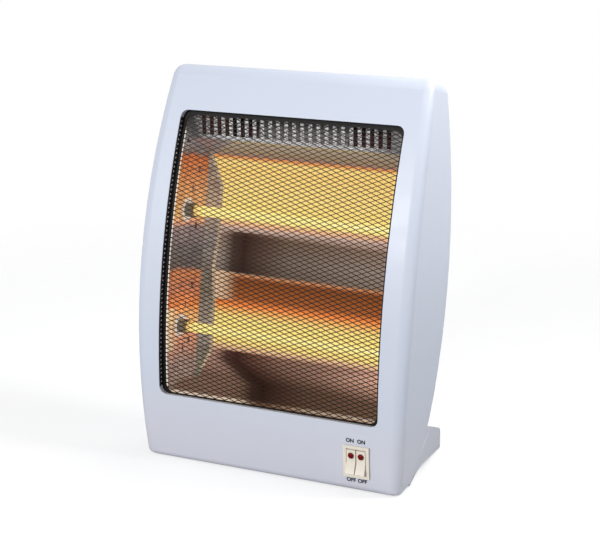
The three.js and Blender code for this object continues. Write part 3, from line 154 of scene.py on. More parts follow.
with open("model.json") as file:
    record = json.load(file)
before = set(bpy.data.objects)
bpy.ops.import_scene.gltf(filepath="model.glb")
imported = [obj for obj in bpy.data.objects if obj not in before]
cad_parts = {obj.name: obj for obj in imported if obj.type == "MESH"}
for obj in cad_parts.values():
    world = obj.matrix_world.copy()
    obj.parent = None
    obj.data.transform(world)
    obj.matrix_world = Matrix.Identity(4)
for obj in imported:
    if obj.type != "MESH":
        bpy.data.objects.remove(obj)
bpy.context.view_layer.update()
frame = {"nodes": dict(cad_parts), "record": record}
nodes = frame["nodes"]


# ------------------------------------------------------------------ body axes
# x runs across, v is the depth behind the front's apex and w the reach up the leaning body, in mm
def front_at(w):
    return w * w / (2 * FRONT_RADIUS)


def guard_at(w):
    return GUARD_SETBACK + w * w / (2 * (FRONT_RADIUS - GUARD_SETBACK))


def row_direction(x, v, w):
    """Unit direction in the model's frame of one given along the leaning body."""
    y = v * math.cos(LEAN) + w * math.sin(LEAN)
    z = w * math.cos(LEAN) - v * math.sin(LEAN)
    return Vector((x, y, z)).normalized()


def row_point(x, v, w):
    """Place in the model's frame, in metres, of a point given along the leaning body in mm."""
    y = v * math.cos(LEAN) + w * math.sin(LEAN) + APEX_Y
    z = w * math.cos(LEAN) - v * math.sin(LEAN) + APEX_Z
    return Vector((x, y, z)) * MM


def body_point(point):
    """(x, w) in mm of a point in the model's frame in metres."""
    y = point.y / MM - APEX_Y
    z = point.z / MM - APEX_Z
    return point.x / MM, y * math.sin(LEAN) + z * math.cos(LEAN)


# ------------------------------------------------------------------ material helpers
def new_material(name):
    material = bpy.data.materials.new(name)
    material.use_nodes = True
    tree = material.node_tree
    return material, tree, tree.nodes["Principled BSDF"]


def add(tree, kind, **values):
    node = tree.nodes.new(kind)
    for key, value in values.items():
        setattr(node, key, value)
    return node


def set_inputs(node, **values):
    """Sets a node's own inputs, whose names have _ for a space."""
    for key, value in values.items():
        node.inputs[key.replace("_", " ")].default_value = value


def feed(tree, node, **sources):
    """Links outputs to a node's inputs, whose names have _ for a space."""
    for key, source in sources.items():
        tree.links.new(source, node.inputs[key.replace("_", " ")])


def object_place(tree):
    return add(tree, "ShaderNodeTexCoord").outputs["Object"]


def stretched_place(tree, scale):
    mapping = add(tree, "ShaderNodeMapping")
    set_inputs(mapping, Scale=scale)
    feed(tree, mapping, Vector=object_place(tree))
    return mapping.outputs["Vector"]


def body_place(tree):
    """Place split so that X is across, Y the depth v and Z the reach w, in metres."""
    turn = Matrix.Rotation(LEAN, 3, "X")
    origin = turn @ (Vector((0, APEX_Y, APEX_Z)) * MM)
    mapping = add(tree, "ShaderNodeMapping")
    set_inputs(mapping, Rotation=(LEAN, 0, 0), Location=-origin)
    feed(tree, mapping, Vector=object_place(tree))
    split = add(tree, "ShaderNodeSeparateXYZ")
    feed(tree, split, Vector=mapping.outputs["Vector"])
    return split


def noise(tree, place, scale, detail=2.0, roughness=0.5):
    node = add(tree, "ShaderNodeTexNoise")
    set_inputs(node, Scale=scale, Detail=detail, Roughness=roughness)
    feed(tree, node, Vector=place)
    return node.outputs["Fac"]


def remap(tree, value, low, high, to_low=0.0, to_high=1.0, smooth=False):
    node = add(tree, "ShaderNodeMapRange")
    if smooth:
        node.interpolation_type = "SMOOTHSTEP"
    set_inputs(node, From_Min=low, From_Max=high, To_Min=to_low, To_Max=to_high)
    feed(tree, node, Value=value)
    return node.outputs["Result"]


def math_node(tree, operation, first, second=0.0):
    node = add(tree, "ShaderNodeMath", operation=operation)
    for socket, value in zip(node.inputs, (first, second)):
        if isinstance(value, (int, float)):
            socket.default_value = value
        else:
            tree.links.new(value, socket)
    return node.outputs["Value"]


def band(tree, value, low, high):
    """1 between two limits, 0 elsewhere."""
    above = math_node(tree, "GREATER_THAN", value, low)
    below = math_node(tree, "LESS_THAN", value, high)
    return math_node(tree, "MULTIPLY", above, below)


def mix_colour(tree, factor, first, second, blend="MIX"):
    node = add(tree, "ShaderNodeMix", data_type="RGBA", blend_type=blend)
    sockets = (node.inputs[0], node.inputs[6], node.inputs[7])
    for socket, value in zip(sockets, (factor, first, second)):
        if isinstance(value, (int, float)):
            socket.default_value = value
        elif isinstance(value, tuple):
            socket.default_value = (*value, 1.0)
        else:
            tree.links.new(value, socket)
    return node.outputs[2]


def tinted(tree, colour, tint):
    """Colour multiplied channel by channel."""
    return mix_colour(tree, 1.0, colour, tint, "MULTIPLY")


def bump(tree, shader, height, strength, distance):
    node = add(tree, "ShaderNodeBump")
    set_inputs(node, Strength=strength, Distance=distance)
    feed(tree, node, Height=height)
    feed(tree, shader, Normal=node.outputs["Normal"])


def srgb(colour):
    """Linear values of a colour given as 0 to 255 screen values."""
    def linear(channel):
        share = channel / 255
        return share / 12.92 if share <= 0.04045 else ((share + 0.055) / 1.055) ** 2.4
    return tuple(linear(channel) for channel in colour)


def ramp(tree, value, stops):
    """stops holds (position, screen colour) pairs in rising order, in the value's own unit."""
    low, high = stops[0][0], stops[-1][0]
    node = add(tree, "ShaderNodeValToRGB")
    elements = node.color_ramp.elements
    for index, (position, colour) in enumerate(stops):
        share = (position - low) / (high - low)
        if index < 2:
            element = elements[index]
            element.position = share
        else:
            element = elements.new(share)
        element.color = (*srgb(colour), 1.0)
    feed(tree, node, Fac=remap(tree, value, low, high))
    return node.outputs["Color"]


def base_colour(shader):
    """Output that feeds a shader's base colour so far."""
    return shader.inputs["Base Color"].links[0].from_socket


# ------------------------------------------------------------------ casing, switch and small parts
def moulded_plastic(name, colour, roughness, grain=0.25, coat=0.0):
    """Moulded plastic: fine spark-eroded grain, faint tint drift and uneven gloss."""
    material, tree, shader = new_material(name)
    place = object_place(tree)
    base = srgb(colour)
    darker = tuple(channel * MOULDED_SHADE for channel in base)
    drift = noise(tree, place, 9.0, 3.0)
    uneven = noise(tree, place, 60.0, 4.0)
    feed(
        tree,
        shader,
        Base_Color=mix_colour(tree, drift, base, darker),
        Roughness=remap(tree, uneven, 0.3, 0.7, roughness - 0.04, roughness + 0.05),
    )
    set_inputs(shader, Coat_Weight=coat, Coat_Roughness=0.25)
    bump(tree, shader, noise(tree, place, 1600.0, 2.0, 0.6), grain, 0.00006)
    return material


def casing_plastic():
    """Pale blue-grey moulding, more neutral towards the floor, with painted shade behind the vents.
    """
    material = moulded_plastic("satin_shell", (210, 217, 232), 0.42, coat=0.08)
    tree = material.node_tree
    shader = tree.nodes["Principled BSDF"]
    split = body_place(tree)
    low = remap(tree, split.outputs["Z"], *NEUTRAL_REACH, 1.0, 0.0, smooth=True)
    outside = mix_colour(tree, low, base_colour(shader), srgb((213, 215, 226)))
    # painted shade: the casing's inner faces behind the vents turn dark brown
    shaded_behind_vents = mix_colour(tree, shaded_inside(tree, split), outside, srgb((50, 34, 30)))
    feed(tree, shader, Base_Color=shaded_behind_vents)
    return material


def shaded_inside(tree, split):
    """1 on the inner faces behind the top vents, where shade is painted, 0 on the rest of the
    casing.
    """
    depth = split.outputs["Y"]
    facing = add(tree, "ShaderNodeSeparateXYZ")
    feed(tree, facing, Vector=add(tree, "ShaderNodeNewGeometry").outputs["True Normal"])
    sideways = math_node(tree, "MULTIPLY", split.outputs["X"], facing.outputs["X"])
    from_middle = math_node(tree, "SUBTRACT", depth, SHADED_INSIDE_FROM_DEPTH)
    backward = math_node(tree, "MULTIPLY", from_middle, facing.outputs["Y"])
    outward = math_node(tree, "ADD", sideways, backward)
    inner = math_node(tree, "LESS_THAN", outward, 0.0)
    past_panel = math_node(tree, "GREATER_THAN", depth, SHADED_INSIDE_FROM_DEPTH)
    high = band(tree, split.outputs["Z"], *SHADED_INSIDE_REACH)
    return math_node(tree, "MULTIPLY", inner, math_node(tree, "MULTIPLY", past_panel, high))


def black_enamel():
    """Speckled black enamel of the guard."""
    material, tree, shader = new_material("black_enamel")
    speckle = noise(tree, object_place(tree), 700.0, 3.0)
    feed(
        tree,
        shader,
        Base_Color=mix_colour(tree, speckle, srgb((13, 11, 11)), srgb((24, 20, 19))),
        Roughness=remap(tree, speckle, 0.3, 0.7, 0.5, 0.66),
    )
    set_inputs(shader, Specular_IOR_Level=0.25)
    bump(tree, shader, speckle, 0.3, 0.0001)
    return material


def plated_metal(name, colour, roughness):
    """Metal with fine rolling streaks across the body."""
    material, tree, shader = new_material(name)
    streaks = noise(tree, stretched_place(tree, (25.0, 900.0, 900.0)), 1.0, 3.0)
    base = srgb(colour)
    dark = tuple(channel * STREAK_SHADE for channel in base)
    feed(
        tree,
        shader,
        Base_Color=mix_colour(tree, streaks, dark, base),
        Roughness=remap(tree, streaks, 0.25, 0.75, roughness - 0.06, roughness + 0.08),
    )
    set_inputs(shader, Metallic=1.0)
    bump(tree, shader, streaks, 0.15, 0.00005)
    return material


def shield_metal():
    """Zinc plate with painted shade behind the vents, grey across the middle and dark brown towards
    the ends.
    """
    material = plated_metal("zinc_plate", (176, 178, 180), 0.38)
    tree = material.node_tree
    shader = tree.nodes["Principled BSDF"]
    split = body_place(tree)
    middle = band(tree, split.outputs["X"], *PALE_SHIELD_ACROSS)
    # painted shade behind the vents: grey across the middle, dark brown outside it
    shaded_behind_vents = mix_colour(tree, middle, srgb((46, 24, 20)), srgb((108, 104, 104)))
    behind_vents = math_node(tree, "GREATER_THAN", split.outputs["Z"], SHIELD_SHADE_REACH)
    in_front = math_node(tree, "LESS_THAN", split.outputs["Y"], SHIELD_SHADE_DEPTH)
    vent_shade_mask = math_node(tree, "MULTIPLY", behind_vents, in_front)
    feed(tree, shader, Base_Color=mix_colour(tree, vent_shade_mask, base_colour(shader), shaded_behind_vents))
    return material


def unglazed_ceramic():
    material, tree, shader = new_material("unglazed_ceramic")
    grain = noise(tree, object_place(tree), 420.0, 5.0, 0.65)
    colour = mix_colour(tree, grain, srgb((150, 148, 134)), srgb((186, 184, 170)))
    feed(tree, shader, Base_Color=colour)
    set_inputs(shader, Roughness=0.72)
    bump(tree, shader, grain, 0.4, 0.0002)
    return material


def red_lens():
    """Dark red lamp lens, deeper at its rim and glowing faintly."""
    material, tree, shader = new_material("red_lens")
    facing = add(tree, "ShaderNodeLayerWeight")
    set_inputs(facing, Blend=0.4)
    colour = mix_colour(tree, facing.outputs["Facing"], srgb((116, 2, 2)), srgb((60, 1, 2)))
    feed(tree, shader, Base_Color=colour, Emission_Color=colour)
    set_inputs(shader, Emission_Strength=0.05, Roughness=0.2, Specular_IOR_Level=0.14)
    bump(tree, shader, noise(tree, object_place(tree), 900.0), 0.06, 0.0001)
    return material


def black_rubber():
    material, tree, shader = new_material("black_rubber")
    grain = noise(tree, object_place(tree), 500.0, 4.0)
    feed(tree, shader, Base_Color=mix_colour(tree, grain, srgb((34, 34, 35)), srgb((54, 54, 55))))
    set_inputs(shader, Roughness=0.75)
    bump(tree, shader, grain, 0.4, 0.0001)
    return material


def braided_sleeve():
    """Woven glass-fibre sleeve on the lead wires."""
    material, tree, shader = new_material("braided_sleeve")
    weave = add(tree, "ShaderNodeTexVoronoi")
    set_inputs(weave, Scale=1400.0)
    feed(tree, weave, Vector=object_place(tree))
    distance = weave.outputs["Distance"]
    colour = mix_colour(tree, distance, srgb((150, 74, 56)), srgb((96, 42, 32)))
    feed(tree, shader, Base_Color=colour)
    set_inputs(shader, Roughness=0.7)
    bump(tree, shader, distance, 0.5, 0.0001)
    return material


def printing_ink():
    material, tree, shader = new_material("printing_ink")
    grain = noise(tree, object_place(tree), 800.0)
    feed(tree, shader, Base_Color=mix_colour(tree, grain, srgb((10, 14, 34)), srgb((20, 24, 46))))
    set_inputs(shader, Roughness=0.5)
    return material


# ------------------------------------------------------------------ lit reflector
def lit_troughs():
    """Polished sheet whose troughs carry the tubes' glow in bands along the body."""
    material, tree, shader = new_material("polished_trough")
    split = body_place(tree)
    reach = split.outputs["Z"]
    across = split.outputs["X"]
    wave = noise(tree, stretched_place(tree, (4.0, 60.0, 60.0)), 1.0, 3.0)
    above_trough = math_node(tree, "GREATER_THAN", reach, TROUGH_TOP_REACH)
    glow = trough_glow(tree, reach, across, wave)
    colour = mix_colour(tree, above_trough, glow, vent_panel_glow(tree, reach))
    dim = tinted(tree, colour, (0.05, 0.05, 0.05))
    feed(
        tree,
        shader,
        Base_Color=mix_colour(tree, above_trough, dim, vent_panel_mirror_and_shade(tree, reach, across)),
        Emission_Color=colour,
        Roughness=remap(tree, wave, 0.3, 0.7, 0.1, 0.16),
    )
    set_inputs(shader, Emission_Strength=GLOW_STRENGTH, Metallic=1.0)
    bump(tree, shader, wave, 0.12, 0.0003)
    return material


def trough_glow(tree, reach, across, wave):
    """Glow of both troughs with their shaded bands and the light end of the crease."""
    wavy_reach = math_node(tree, "ADD", reach, remap(tree, wave, 0.3, 0.7, -0.0008, 0.0008))
    upper = math_node(tree, "GREATER_THAN", reach, 0.0)
    lower_glow = lower_trough_glow(tree, wavy_reach)
    upper_glow = upper_trough_glow(tree, wavy_reach)
    glow = mix_colour(tree, upper, lower_glow, upper_glow)
    glow = mix_colour(tree, dark_bands(tree, reach), glow, end_shadow(tree, glow, across, reach))
    crease_end = remap(tree, across, *CREASE_END_ACROSS, 1.0, 0.0, smooth=True)
    crease_light = math_node(tree, "MULTIPLY", crease_end, band(tree, reach, *CREASE_REACH))
    return mix_colour(tree, crease_light, glow, srgb((222, 186, 152)))


def lower_trough_glow(tree, reach):
    """From the lit bottom lip over the shaded floor and the yellow trough to the shaded crease."""
    return ramp(tree, reach, [
        (-0.119, (96, 72, 58)),
        (-0.1183, (178, 160, 144)),
        (-0.117, (168, 152, 136)),
        (-0.1162, (92, 70, 56)),
        (-0.104, (100, 75, 62)),
        (-0.0895, (134, 104, 90)),
        (-0.0805, (152, 116, 100)),
        (-0.0765, (226, 180, 142)),
        (-0.0705, (255, 224, 134)),
        (-0.050, (255, 230, 137)),
        (-0.0435, (255, 216, 128)),
        (-0.034, (248, 142, 72)),
        (-0.027, (168, 94, 48)),
        (-0.009, (134, 74, 36)),
        (-0.006, (150, 84, 46)),
        (-0.0035, (206, 138, 94)),
        (-0.0015, (124, 104, 90)),
    ])


def upper_trough_glow(tree, reach):
    """From the shaded crease over the yellow trough to its orange top edge."""
    return ramp(tree, reach, [
        (-0.004, (112, 98, 88)),
        (0.014, (128, 114, 104)),
        (0.034, (122, 100, 86)),
        (0.0395, (176, 148, 134)),
        (0.0425, (212, 178, 160)),
        (0.0455, (240, 184, 142)),
        (0.053, (255, 228, 134)),
        (0.082, (255, 220, 134)),
        (0.100, (255, 214, 126)),
        (0.1075, (255, 218, 132)),
        (0.1115, (232, 148, 84)),
        (0.1135, (164, 134, 118)),
    ])


def dark_bands(tree, reach):
    """1 on the two bands that the tubes leave in shade."""
    upper = band(tree, reach, *UPPER_SHADE_REACH)
    lower = math_node(tree, "LESS_THAN", reach, LOWER_SHADE_TOP)
    return math_node(tree, "MAXIMUM", upper, lower)


def end_shadow(tree, glow, across, reach):
    """Glow of the shaded bands: light at the end plate, dark next to it, then brighter again."""
    below = math_node(tree, "MINIMUM", math_node(tree, "SUBTRACT", reach, SLANT_TOP), 0.0)
    slanted = math_node(tree, "ADD", across, math_node(tree, "MULTIPLY", below, SHADE_SLANT))
    share = ramp(tree, slanted, [
        (-0.096, (246, 246, 246)),
        (-0.087, (228, 227, 226)),
        (-0.075, (120, 104, 100)),
        (-0.063, (94, 68, 62)),
        (-0.040, (148, 130, 124)),
        (-0.016, (184, 178, 172)),
        (0.090, (228, 226, 224)),
    ])
    return tinted(tree, tinted(tree, glow, share), (SHADE_GAIN, SHADE_GAIN, SHADE_GAIN))


def vent_panel_glow(tree, reach):
    """Faint light on the panel with the vents, fading towards its top."""
    return ramp(tree, reach, [
        (0.1135, (128, 106, 98)),
        (0.118, (116, 98, 92)),
        (0.124, (126, 116, 114)),
        (0.129, (92, 88, 86)),
        (0.147, (64, 62, 61)),
        (0.152, (14, 13, 13)),
    ])


def vent_panel_mirror_and_shade(tree, reach, across):
    """Reflectance of the panel with the vents: bright between the slots, with painted shade at its
    top and towards its ends.
    """
    mirror = ramp(tree, reach, [
        (0.1135, (60, 56, 58)),
        (0.126, (96, 94, 98)),
        (0.130, (214, 213, 214)),
        (0.146, (206, 205, 206)),
        # painted shadow along the top of the panel
        (0.1515, (40, 40, 40)),
    ])
    from_middle = math_node(tree, "ABSOLUTE", across)
    # painted shade towards both ends of the panel
    ends = remap(tree, from_middle, *PANEL_SHADE_ACROSS, 0.0, PANEL_SHADE_SHARE, smooth=True)
    return mix_colour(tree, ends, mirror, srgb((60, 56, 56)))


# ------------------------------------------------------------------ lit end plates
def lit_end_plate():
    """Polished end plate with the tubes' glow painted on: orange beside the tubes, grey where it
    nears the troughs.
    """
    material, tree, shader = new_material("polished_end_plate")
    split = body_place(tree)
    wave = noise(tree, object_place(tree), 45.0, 4.0)
    colour = plate_bands(tree, split, wave)
    colour = plate_lights(tree, split, colour)
    colour = plate_stains(tree, split, colour)
    feed(
        tree,
        shader,
        Base_Color=tinted(tree, colour, (0.12, 0.12, 0.12)),
        Emission_Color=colour,
        Roughness=remap(tree, wave, 0.3, 0.7, 0.2, 0.34),
    )
    set_inputs(shader, Emission_Strength=PLATE_GLOW_STRENGTH, Metallic=1.0)
    bump(tree, shader, wave, 0.25, 0.0006)
    return material


def plate_bands(tree, split, wave):
    """Bands of the glow along the plate, greyer on the edge that is bent towards the troughs."""
    reach = math_node(tree, "ADD", split.outputs["Z"], remap(tree, wave, 0.3, 0.7, -0.003, 0.003))
    glow = ramp(tree, reach, [
        (-0.121, (150, 128, 112)),
        (-0.092, (176, 146, 132)),
        (-0.066, (236, 160, 120)),
        (-0.052, (255, 196, 130)),
        (-0.036, (250, 150, 84)),
        (-0.018, (204, 130, 96)),
        (-0.002, (216, 136, 88)),
        (0.001, (116, 102, 96)),
        (0.020, (126, 114, 108)),
        (0.040, (166, 142, 136)),
        (0.045, (240, 170, 130)),
        (0.052, (240, 186, 120)),
        (0.070, (234, 170, 112)),
        (0.108, (212, 116, 64)),
        (0.113, (130, 108, 98)),
        (0.124, (168, 160, 156)),
        (0.132, (120, 116, 114)),
        (0.140, (46, 44, 44)),
    ])
    grey = ramp(tree, reach, [
        (-0.121, (138, 128, 108)),
        (-0.085, (140, 130, 112)),
        (-0.060, (176, 160, 146)),
        (-0.020, (134, 120, 100)),
        (0.030, (150, 138, 130)),
        (0.060, (200, 168, 140)),
        (0.110, (158, 136, 118)),
        (0.124, (160, 150, 144)),
        (0.140, (60, 58, 58)),
    ])
    return mix_colour(tree, remap(tree, split.outputs["Y"], *PLATE_BEND_DEPTH), glow, grey)


def plate_lights(tree, split, colour):
    """Adds the painted light edge by the troughs, a painted patch of light at the lower tube and
    the caps' painted reflections.
    """
    depth = split.outputs["Y"]
    reach = split.outputs["Z"]
    to_trough = math_node(tree, "SUBTRACT", trough_depth(tree, reach), depth)
    edge = remap(tree, to_trough, *LIGHT_EDGE_WIDTH, 1.0, 0.0)
    light_edge = math_node(tree, "MULTIPLY", edge, band(tree, reach, *LIGHT_EDGE_REACH))
    colour = mix_colour(tree, light_edge, colour, srgb((206, 182, 150)))
    # painted light: a pale patch by the lower tube, fading towards the back
    towards_front = remap(tree, depth, *LIT_PATCH_DEPTH, LIT_PATCH_SHARE, 0.0)
    lit_patch = math_node(tree, "MULTIPLY", towards_front, band(tree, reach, *LIT_PATCH_REACH))
    colour = mix_colour(tree, lit_patch, colour, srgb((250, 232, 190)))
    for tube_w in (UPPER_TUBE_W, LOWER_TUBE_W):
        cap = cap_reflection(tree, split, tube_w)
        colour = mix_colour(tree, cap, colour, srgb((234, 226, 214)))
    return colour


def plate_stains(tree, split, colour):
    """Adds the mottled stains, painted shade behind the vents and the light line by the guard."""
    depth = split.outputs["Y"]
    reach = split.outputs["Z"]
    mottle = remap(tree, noise(tree, object_place(tree), 170.0, 3.0, 0.6), 0.36, 0.6)
    colour = mix_colour(tree, mottle, tinted(tree, colour, (0.72, 0.68, 0.68)), colour)
    past_panel = math_node(tree, "GREATER_THAN", depth, BEHIND_VENTS_DEPTH)
    above_trough = math_node(tree, "GREATER_THAN", reach, BEHIND_VENTS_REACH)
    behind_vents = math_node(tree, "MULTIPLY", past_panel, above_trough)
    # painted shade: the end plate behind the vents turns dark brown
    colour = mix_colour(tree, behind_vents, colour, srgb((52, 28, 22)))
    behind_guard = math_node(tree, "SUBTRACT", depth, guard_depth(tree, reach))
    front_line = band(tree, behind_guard, *FRONT_LINE_DEPTH)
    return mix_colour(tree, front_line, colour, srgb((238, 232, 222)))


def trough_depth(tree, reach):
    """Depth of the reflector at a reach, both in metres."""
    def slope(low_w, low_v, high_w, high_v):
        gain = (high_v - low_v) / (high_w - low_w)
        risen = math_node(tree, "MULTIPLY", reach, gain)
        return math_node(tree, "ADD", risen, (low_v - gain * low_w) * MM)

    upper, lower, half = UPPER_TUBE_W, LOWER_TUBE_W, TROUGH_FLOOR_HALF
    above_crease = slope(CREASE_W, CREASE_DEPTH, upper - half, TROUGH_BACK)
    below_crease = slope(lower + half, TROUGH_BACK, CREASE_W, CREASE_DEPTH)
    top_edge = slope(upper + half, TROUGH_BACK, TROUGH_TOP_W, TROUGH_EDGE_DEPTH)
    bottom_edge = slope(TROUGH_BOTTOM_W, TROUGH_EDGE_DEPTH, lower - half, TROUGH_BACK)
    ridge = math_node(tree, "MAXIMUM", above_crease, below_crease)
    edges = math_node(tree, "MINIMUM", top_edge, bottom_edge)
    return math_node(tree, "MINIMUM", math_node(tree, "MINIMUM", ridge, edges), TROUGH_BACK * MM)


def cap_reflection(tree, split, tube_w):
    """Share of the ceramic cap's mirror image round a tube, 0 away from it."""
    across = math_node(tree, "SUBTRACT", split.outputs["Y"], TUBE_DEPTH * MM)
    along = math_node(tree, "SUBTRACT", split.outputs["Z"], tube_w * MM)
    across_squared = math_node(tree, "MULTIPLY", across, across)
    along_squared = math_node(tree, "MULTIPLY", along, along)
    distance = math_node(tree, "SQRT", math_node(tree, "ADD", across_squared, along_squared))
    return math_node(tree, "MULTIPLY", remap(tree, distance, *CAP_RING, 1.0, 0.0), CAP_SHARE)


def guard_depth(tree, reach):
    """Depth of the guard at a reach, both in metres."""
    square = math_node(tree, "MULTIPLY", reach, reach)
    bulge = math_node(tree, "DIVIDE", square, 2 * (FRONT_RADIUS - GUARD_SETBACK) * MM)
    return math_node(tree, "ADD", bulge, GUARD_SETBACK * MM)


# ------------------------------------------------------------------ tubes
def glowing_quartz():
    """Hot quartz: bright along the middle, deeper amber at the rims and the cool ends."""
    material, tree, shader = new_material("glowing_quartz")
    facing = add(tree, "ShaderNodeLayerWeight")
    set_inputs(facing, Blend=0.35)
    from_middle = math_node(tree, "ABSOLUTE", body_place(tree).outputs["X"])
    ends = remap(tree, from_middle, *TUBE_END_ACROSS)
    core = mix_colour(tree, facing.outputs["Facing"], srgb((255, 236, 148)), srgb((255, 226, 130)))
    colour = mix_colour(tree, ends, core, srgb((250, 196, 112)))
    feed(tree, shader, Base_Color=tinted(tree, colour, (0.15, 0.15, 0.15)), Emission_Color=colour)
    set_inputs(shader, Emission_Strength=TUBE_GLOW_STRENGTH, Roughness=0.12, Specular_IOR_Level=0.3)
    bump(tree, shader, noise(tree, object_place(tree), 300.0), 0.05, 0.0001)
    return material


def hot_coil():
    """Glowing winding, dimmer at its left end."""
    material, tree, shader = new_material("hot_coil")
    winding = add(tree, "ShaderNodeTexWave", bands_direction="X")
    set_inputs(winding, Scale=160.0, Distortion=0.0)
    feed(tree, winding, Vector=object_place(tree))
    colour = mix_colour(tree, winding.outputs["Fac"], srgb((255, 140, 40)), srgb((255, 224, 140)))
    fade = remap(tree, body_place(tree).outputs["X"], *COIL_START_ACROSS, *COIL_GLOW)
    feed(tree, shader, Base_Color=colour, Emission_Color=colour, Emission_Strength=fade)
    bump(tree, shader, winding.outputs["Fac"], 0.8, 0.0006)
    return material


MATERIALS = {
    "shell": casing_plastic(),
    "guard": black_enamel(),
    "mirror_sheet": lit_troughs(),
    "plate_sheet": lit_end_plate(),
    "zinc": shield_metal(),
    "quartz": glowing_quartz(),
    "coil": hot_coil(),
    "ceramic": unglazed_ceramic(),
    "cream": moulded_plastic("cream_switch", (238, 230, 215), 0.4, grain=0.12, coat=0.1),
    "lens": red_lens(),
    "brass": plated_metal("brass_tab", (206, 172, 96), 0.3),
    "rubber": black_rubber(),
    "wire": braided_sleeve(),
    "black_plastic": moulded_plastic("black_moulding", (36, 36, 38), 0.5),
    "ink": printing_ink(),
}


# ------------------------------------------------------------------ pieces
def make_piece(name, mesh, material):
    """Piece of the housing with one mesh in one material."""
    piece = bpy.data.objects.new(name, mesh)
    bpy.context.scene.collection.objects.link(piece)
    mesh.materials.clear()
    mesh.materials.append(MATERIALS[material])
    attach(piece, "housing")
    return piece


def casing_normal(point, face_normal):
    """Exact surface direction of the casing at a point, or None off its smooth faces."""
    x, w = body_point(point)
    side = math.copysign(1.0, x)
    faces = (
        row_direction(0, -1, w / FRONT_RADIUS),
        row_direction(0, 1, w / SEAM_RADIUS),
        row_direction(side, 0, w / SIDE_BOW_RADIUS),
    )
    for direction in faces:
        if direction.dot(face_normal) > math.cos(SMOOTH_FACE_ANGLE):
            return direction
    return None


def casing_normals(mesh):
    """One direction for each face corner: exact on the smooth faces, blended elsewhere."""
    blended = [corner.vector.copy() for corner in mesh.corner_normals]
    normals = []
    for polygon in mesh.polygons:
        for loop in polygon.loop_indices:
            vertex = mesh.vertices[mesh.loops[loop].vertex_index]
            exact = casing_normal(vertex.co, polygon.normal)
            normals.append(exact if exact is not None else blended[loop])
    return normals


def smooth_casing(name, node, material):
    """Casing shell with the solid's own mesh, its curves shaded exactly."""
    work = bmesh.new()
    work.from_mesh(nodes[node].data)
    bmesh.ops.remove_doubles(work, verts=work.verts, dist=WELD_DISTANCE)
    mesh = bpy.data.meshes.new(name)
    work.to_mesh(mesh)
    work.free()
    mesh.shade_smooth()
    mesh.set_sharp_from_angle(angle=SHARP_ANGLE)
    mesh.normals_split_custom_set(casing_normals(mesh))
    piece = make_piece(name, mesh, material)
    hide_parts(node)


def dress_nodes():
    """Gives every solid its material and smooths the ones that show."""
    slots = {part["node"]: part["material_slot"] for part in frame["record"]["subparts"]}
    for name, node in nodes.items():
        node.data.materials.clear()
        node.data.materials.append(MATERIALS[slots[name]])
        if node.hide_render:
            continue
        weld = node.modifiers.new("weld", "WELD")
        weld.merge_threshold = WELD_DISTANCE
        for polygon in node.data.polygons:
            polygon.use_smooth = True
        split = node.modifiers.new("edges", "EDGE_SPLIT")
        split.split_angle = SHARP_ANGLE


# ------------------------------------------------------------------ guard
def bar(points, faces, start, end, across, normal, width, thickness):
    """Adds a four-sided bar between two points, with its width and thickness in mm."""
    low = len(points)
    for place in (start, end):
        for u, n in ((-1, -1), (1, -1), (1, 1), (-1, 1)):
            points.append(place + across * (u * width * MM / 2) + normal * (n * thickness * MM / 2))
    for side in range(4):
        after = (side + 1) % 4
        faces.append((low + side, low + after, low + 4 + after, low + 4 + side))


def net_strand(points, faces, left_x, right_x, low_w, high_w, rising):
    """Adds one side of a diamond, its flat turned a little out of the sheet."""
    start_x, end_x = (left_x, right_x) if rising else (right_x, left_x)
    start = row_point(start_x, guard_at(low_w), low_w)
    end = row_point(end_x, guard_at(high_w), high_w)
    along = (end - start).normalized()
    middle_w = (low_w + high_w) / 2
    normal = row_direction(0, -1, middle_w / (FRONT_RADIUS - GUARD_SETBACK))
    across = along.cross(normal).normalized()
    turn = Matrix.Rotation(STRAND_TWIST if rising else -STRAND_TWIST, 3, along)
    bar(points, faces, start, end, turn @ across, turn @ normal, STRAND_WIDTH, STRAND_THICKNESS)


def expanded_net(points, faces):
    """Adds the net's strands, a little past the window on every side."""
    half = WINDOW_HALF_WIDTH + NET_TUCK
    low = WINDOW_BOTTOM - NET_TUCK
    high = WINDOW_TOP + NET_TUCK
    columns = 4 * round(half / DIAMOND_LONG)
    rows = 2 * round((high - low) / DIAMOND_SHORT)
    step_x = 2 * half / columns
    step_w = (high - low) / rows
    for i in range(columns):
        left_x = -half + i * step_x
        for j in range(rows):
            low_w = low + j * step_w
            rising = (i + j) % 2 == 0
            net_strand(points, faces, left_x, left_x + step_x, low_w, low_w + step_w, rising)


def rectangle_outline(half, low, high, radius):
    """Corners of a rounded rectangle as (x, w) pairs, anticlockwise from the upper right."""
    outline = []
    centres = (
        (half - radius, high - radius),
        (-half + radius, high - radius),
        (-half + radius, low + radius),
        (half - radius, low + radius),
    )
    for quarter, (x, w) in enumerate(centres):
        for step in range(CORNER_STEPS + 1):
            angle = (quarter + step / CORNER_STEPS) * math.pi / 2
            outline.append((x + radius * math.cos(angle), w + radius * math.sin(angle)))
    return outline


def finer(outline):
    """Outline with its long straight runs cut into short ones, so that it can follow a curve."""
    fine = []
    for index, (x, w) in enumerate(outline):
        next_x, next_w = outline[(index + 1) % len(outline)]
        count = max(1, math.ceil(math.hypot(next_x - x, next_w - w) / LONGEST_RUN))
        for step in range(count):
            share = step / count
            fine.append((x + (next_x - x) * share, w + (next_w - w) * share))
    return fine


def ring_faces(faces, rings, count, base):
    """Joins closed rings of points, the last to the first."""
    for ring in range(rings):
        for i in range(count):
            after = (i + 1) % count
            here = base + ring * count
            there = base + ((ring + 1) % rings) * count
            faces.append((here + i, here + after, there + after, there + i))


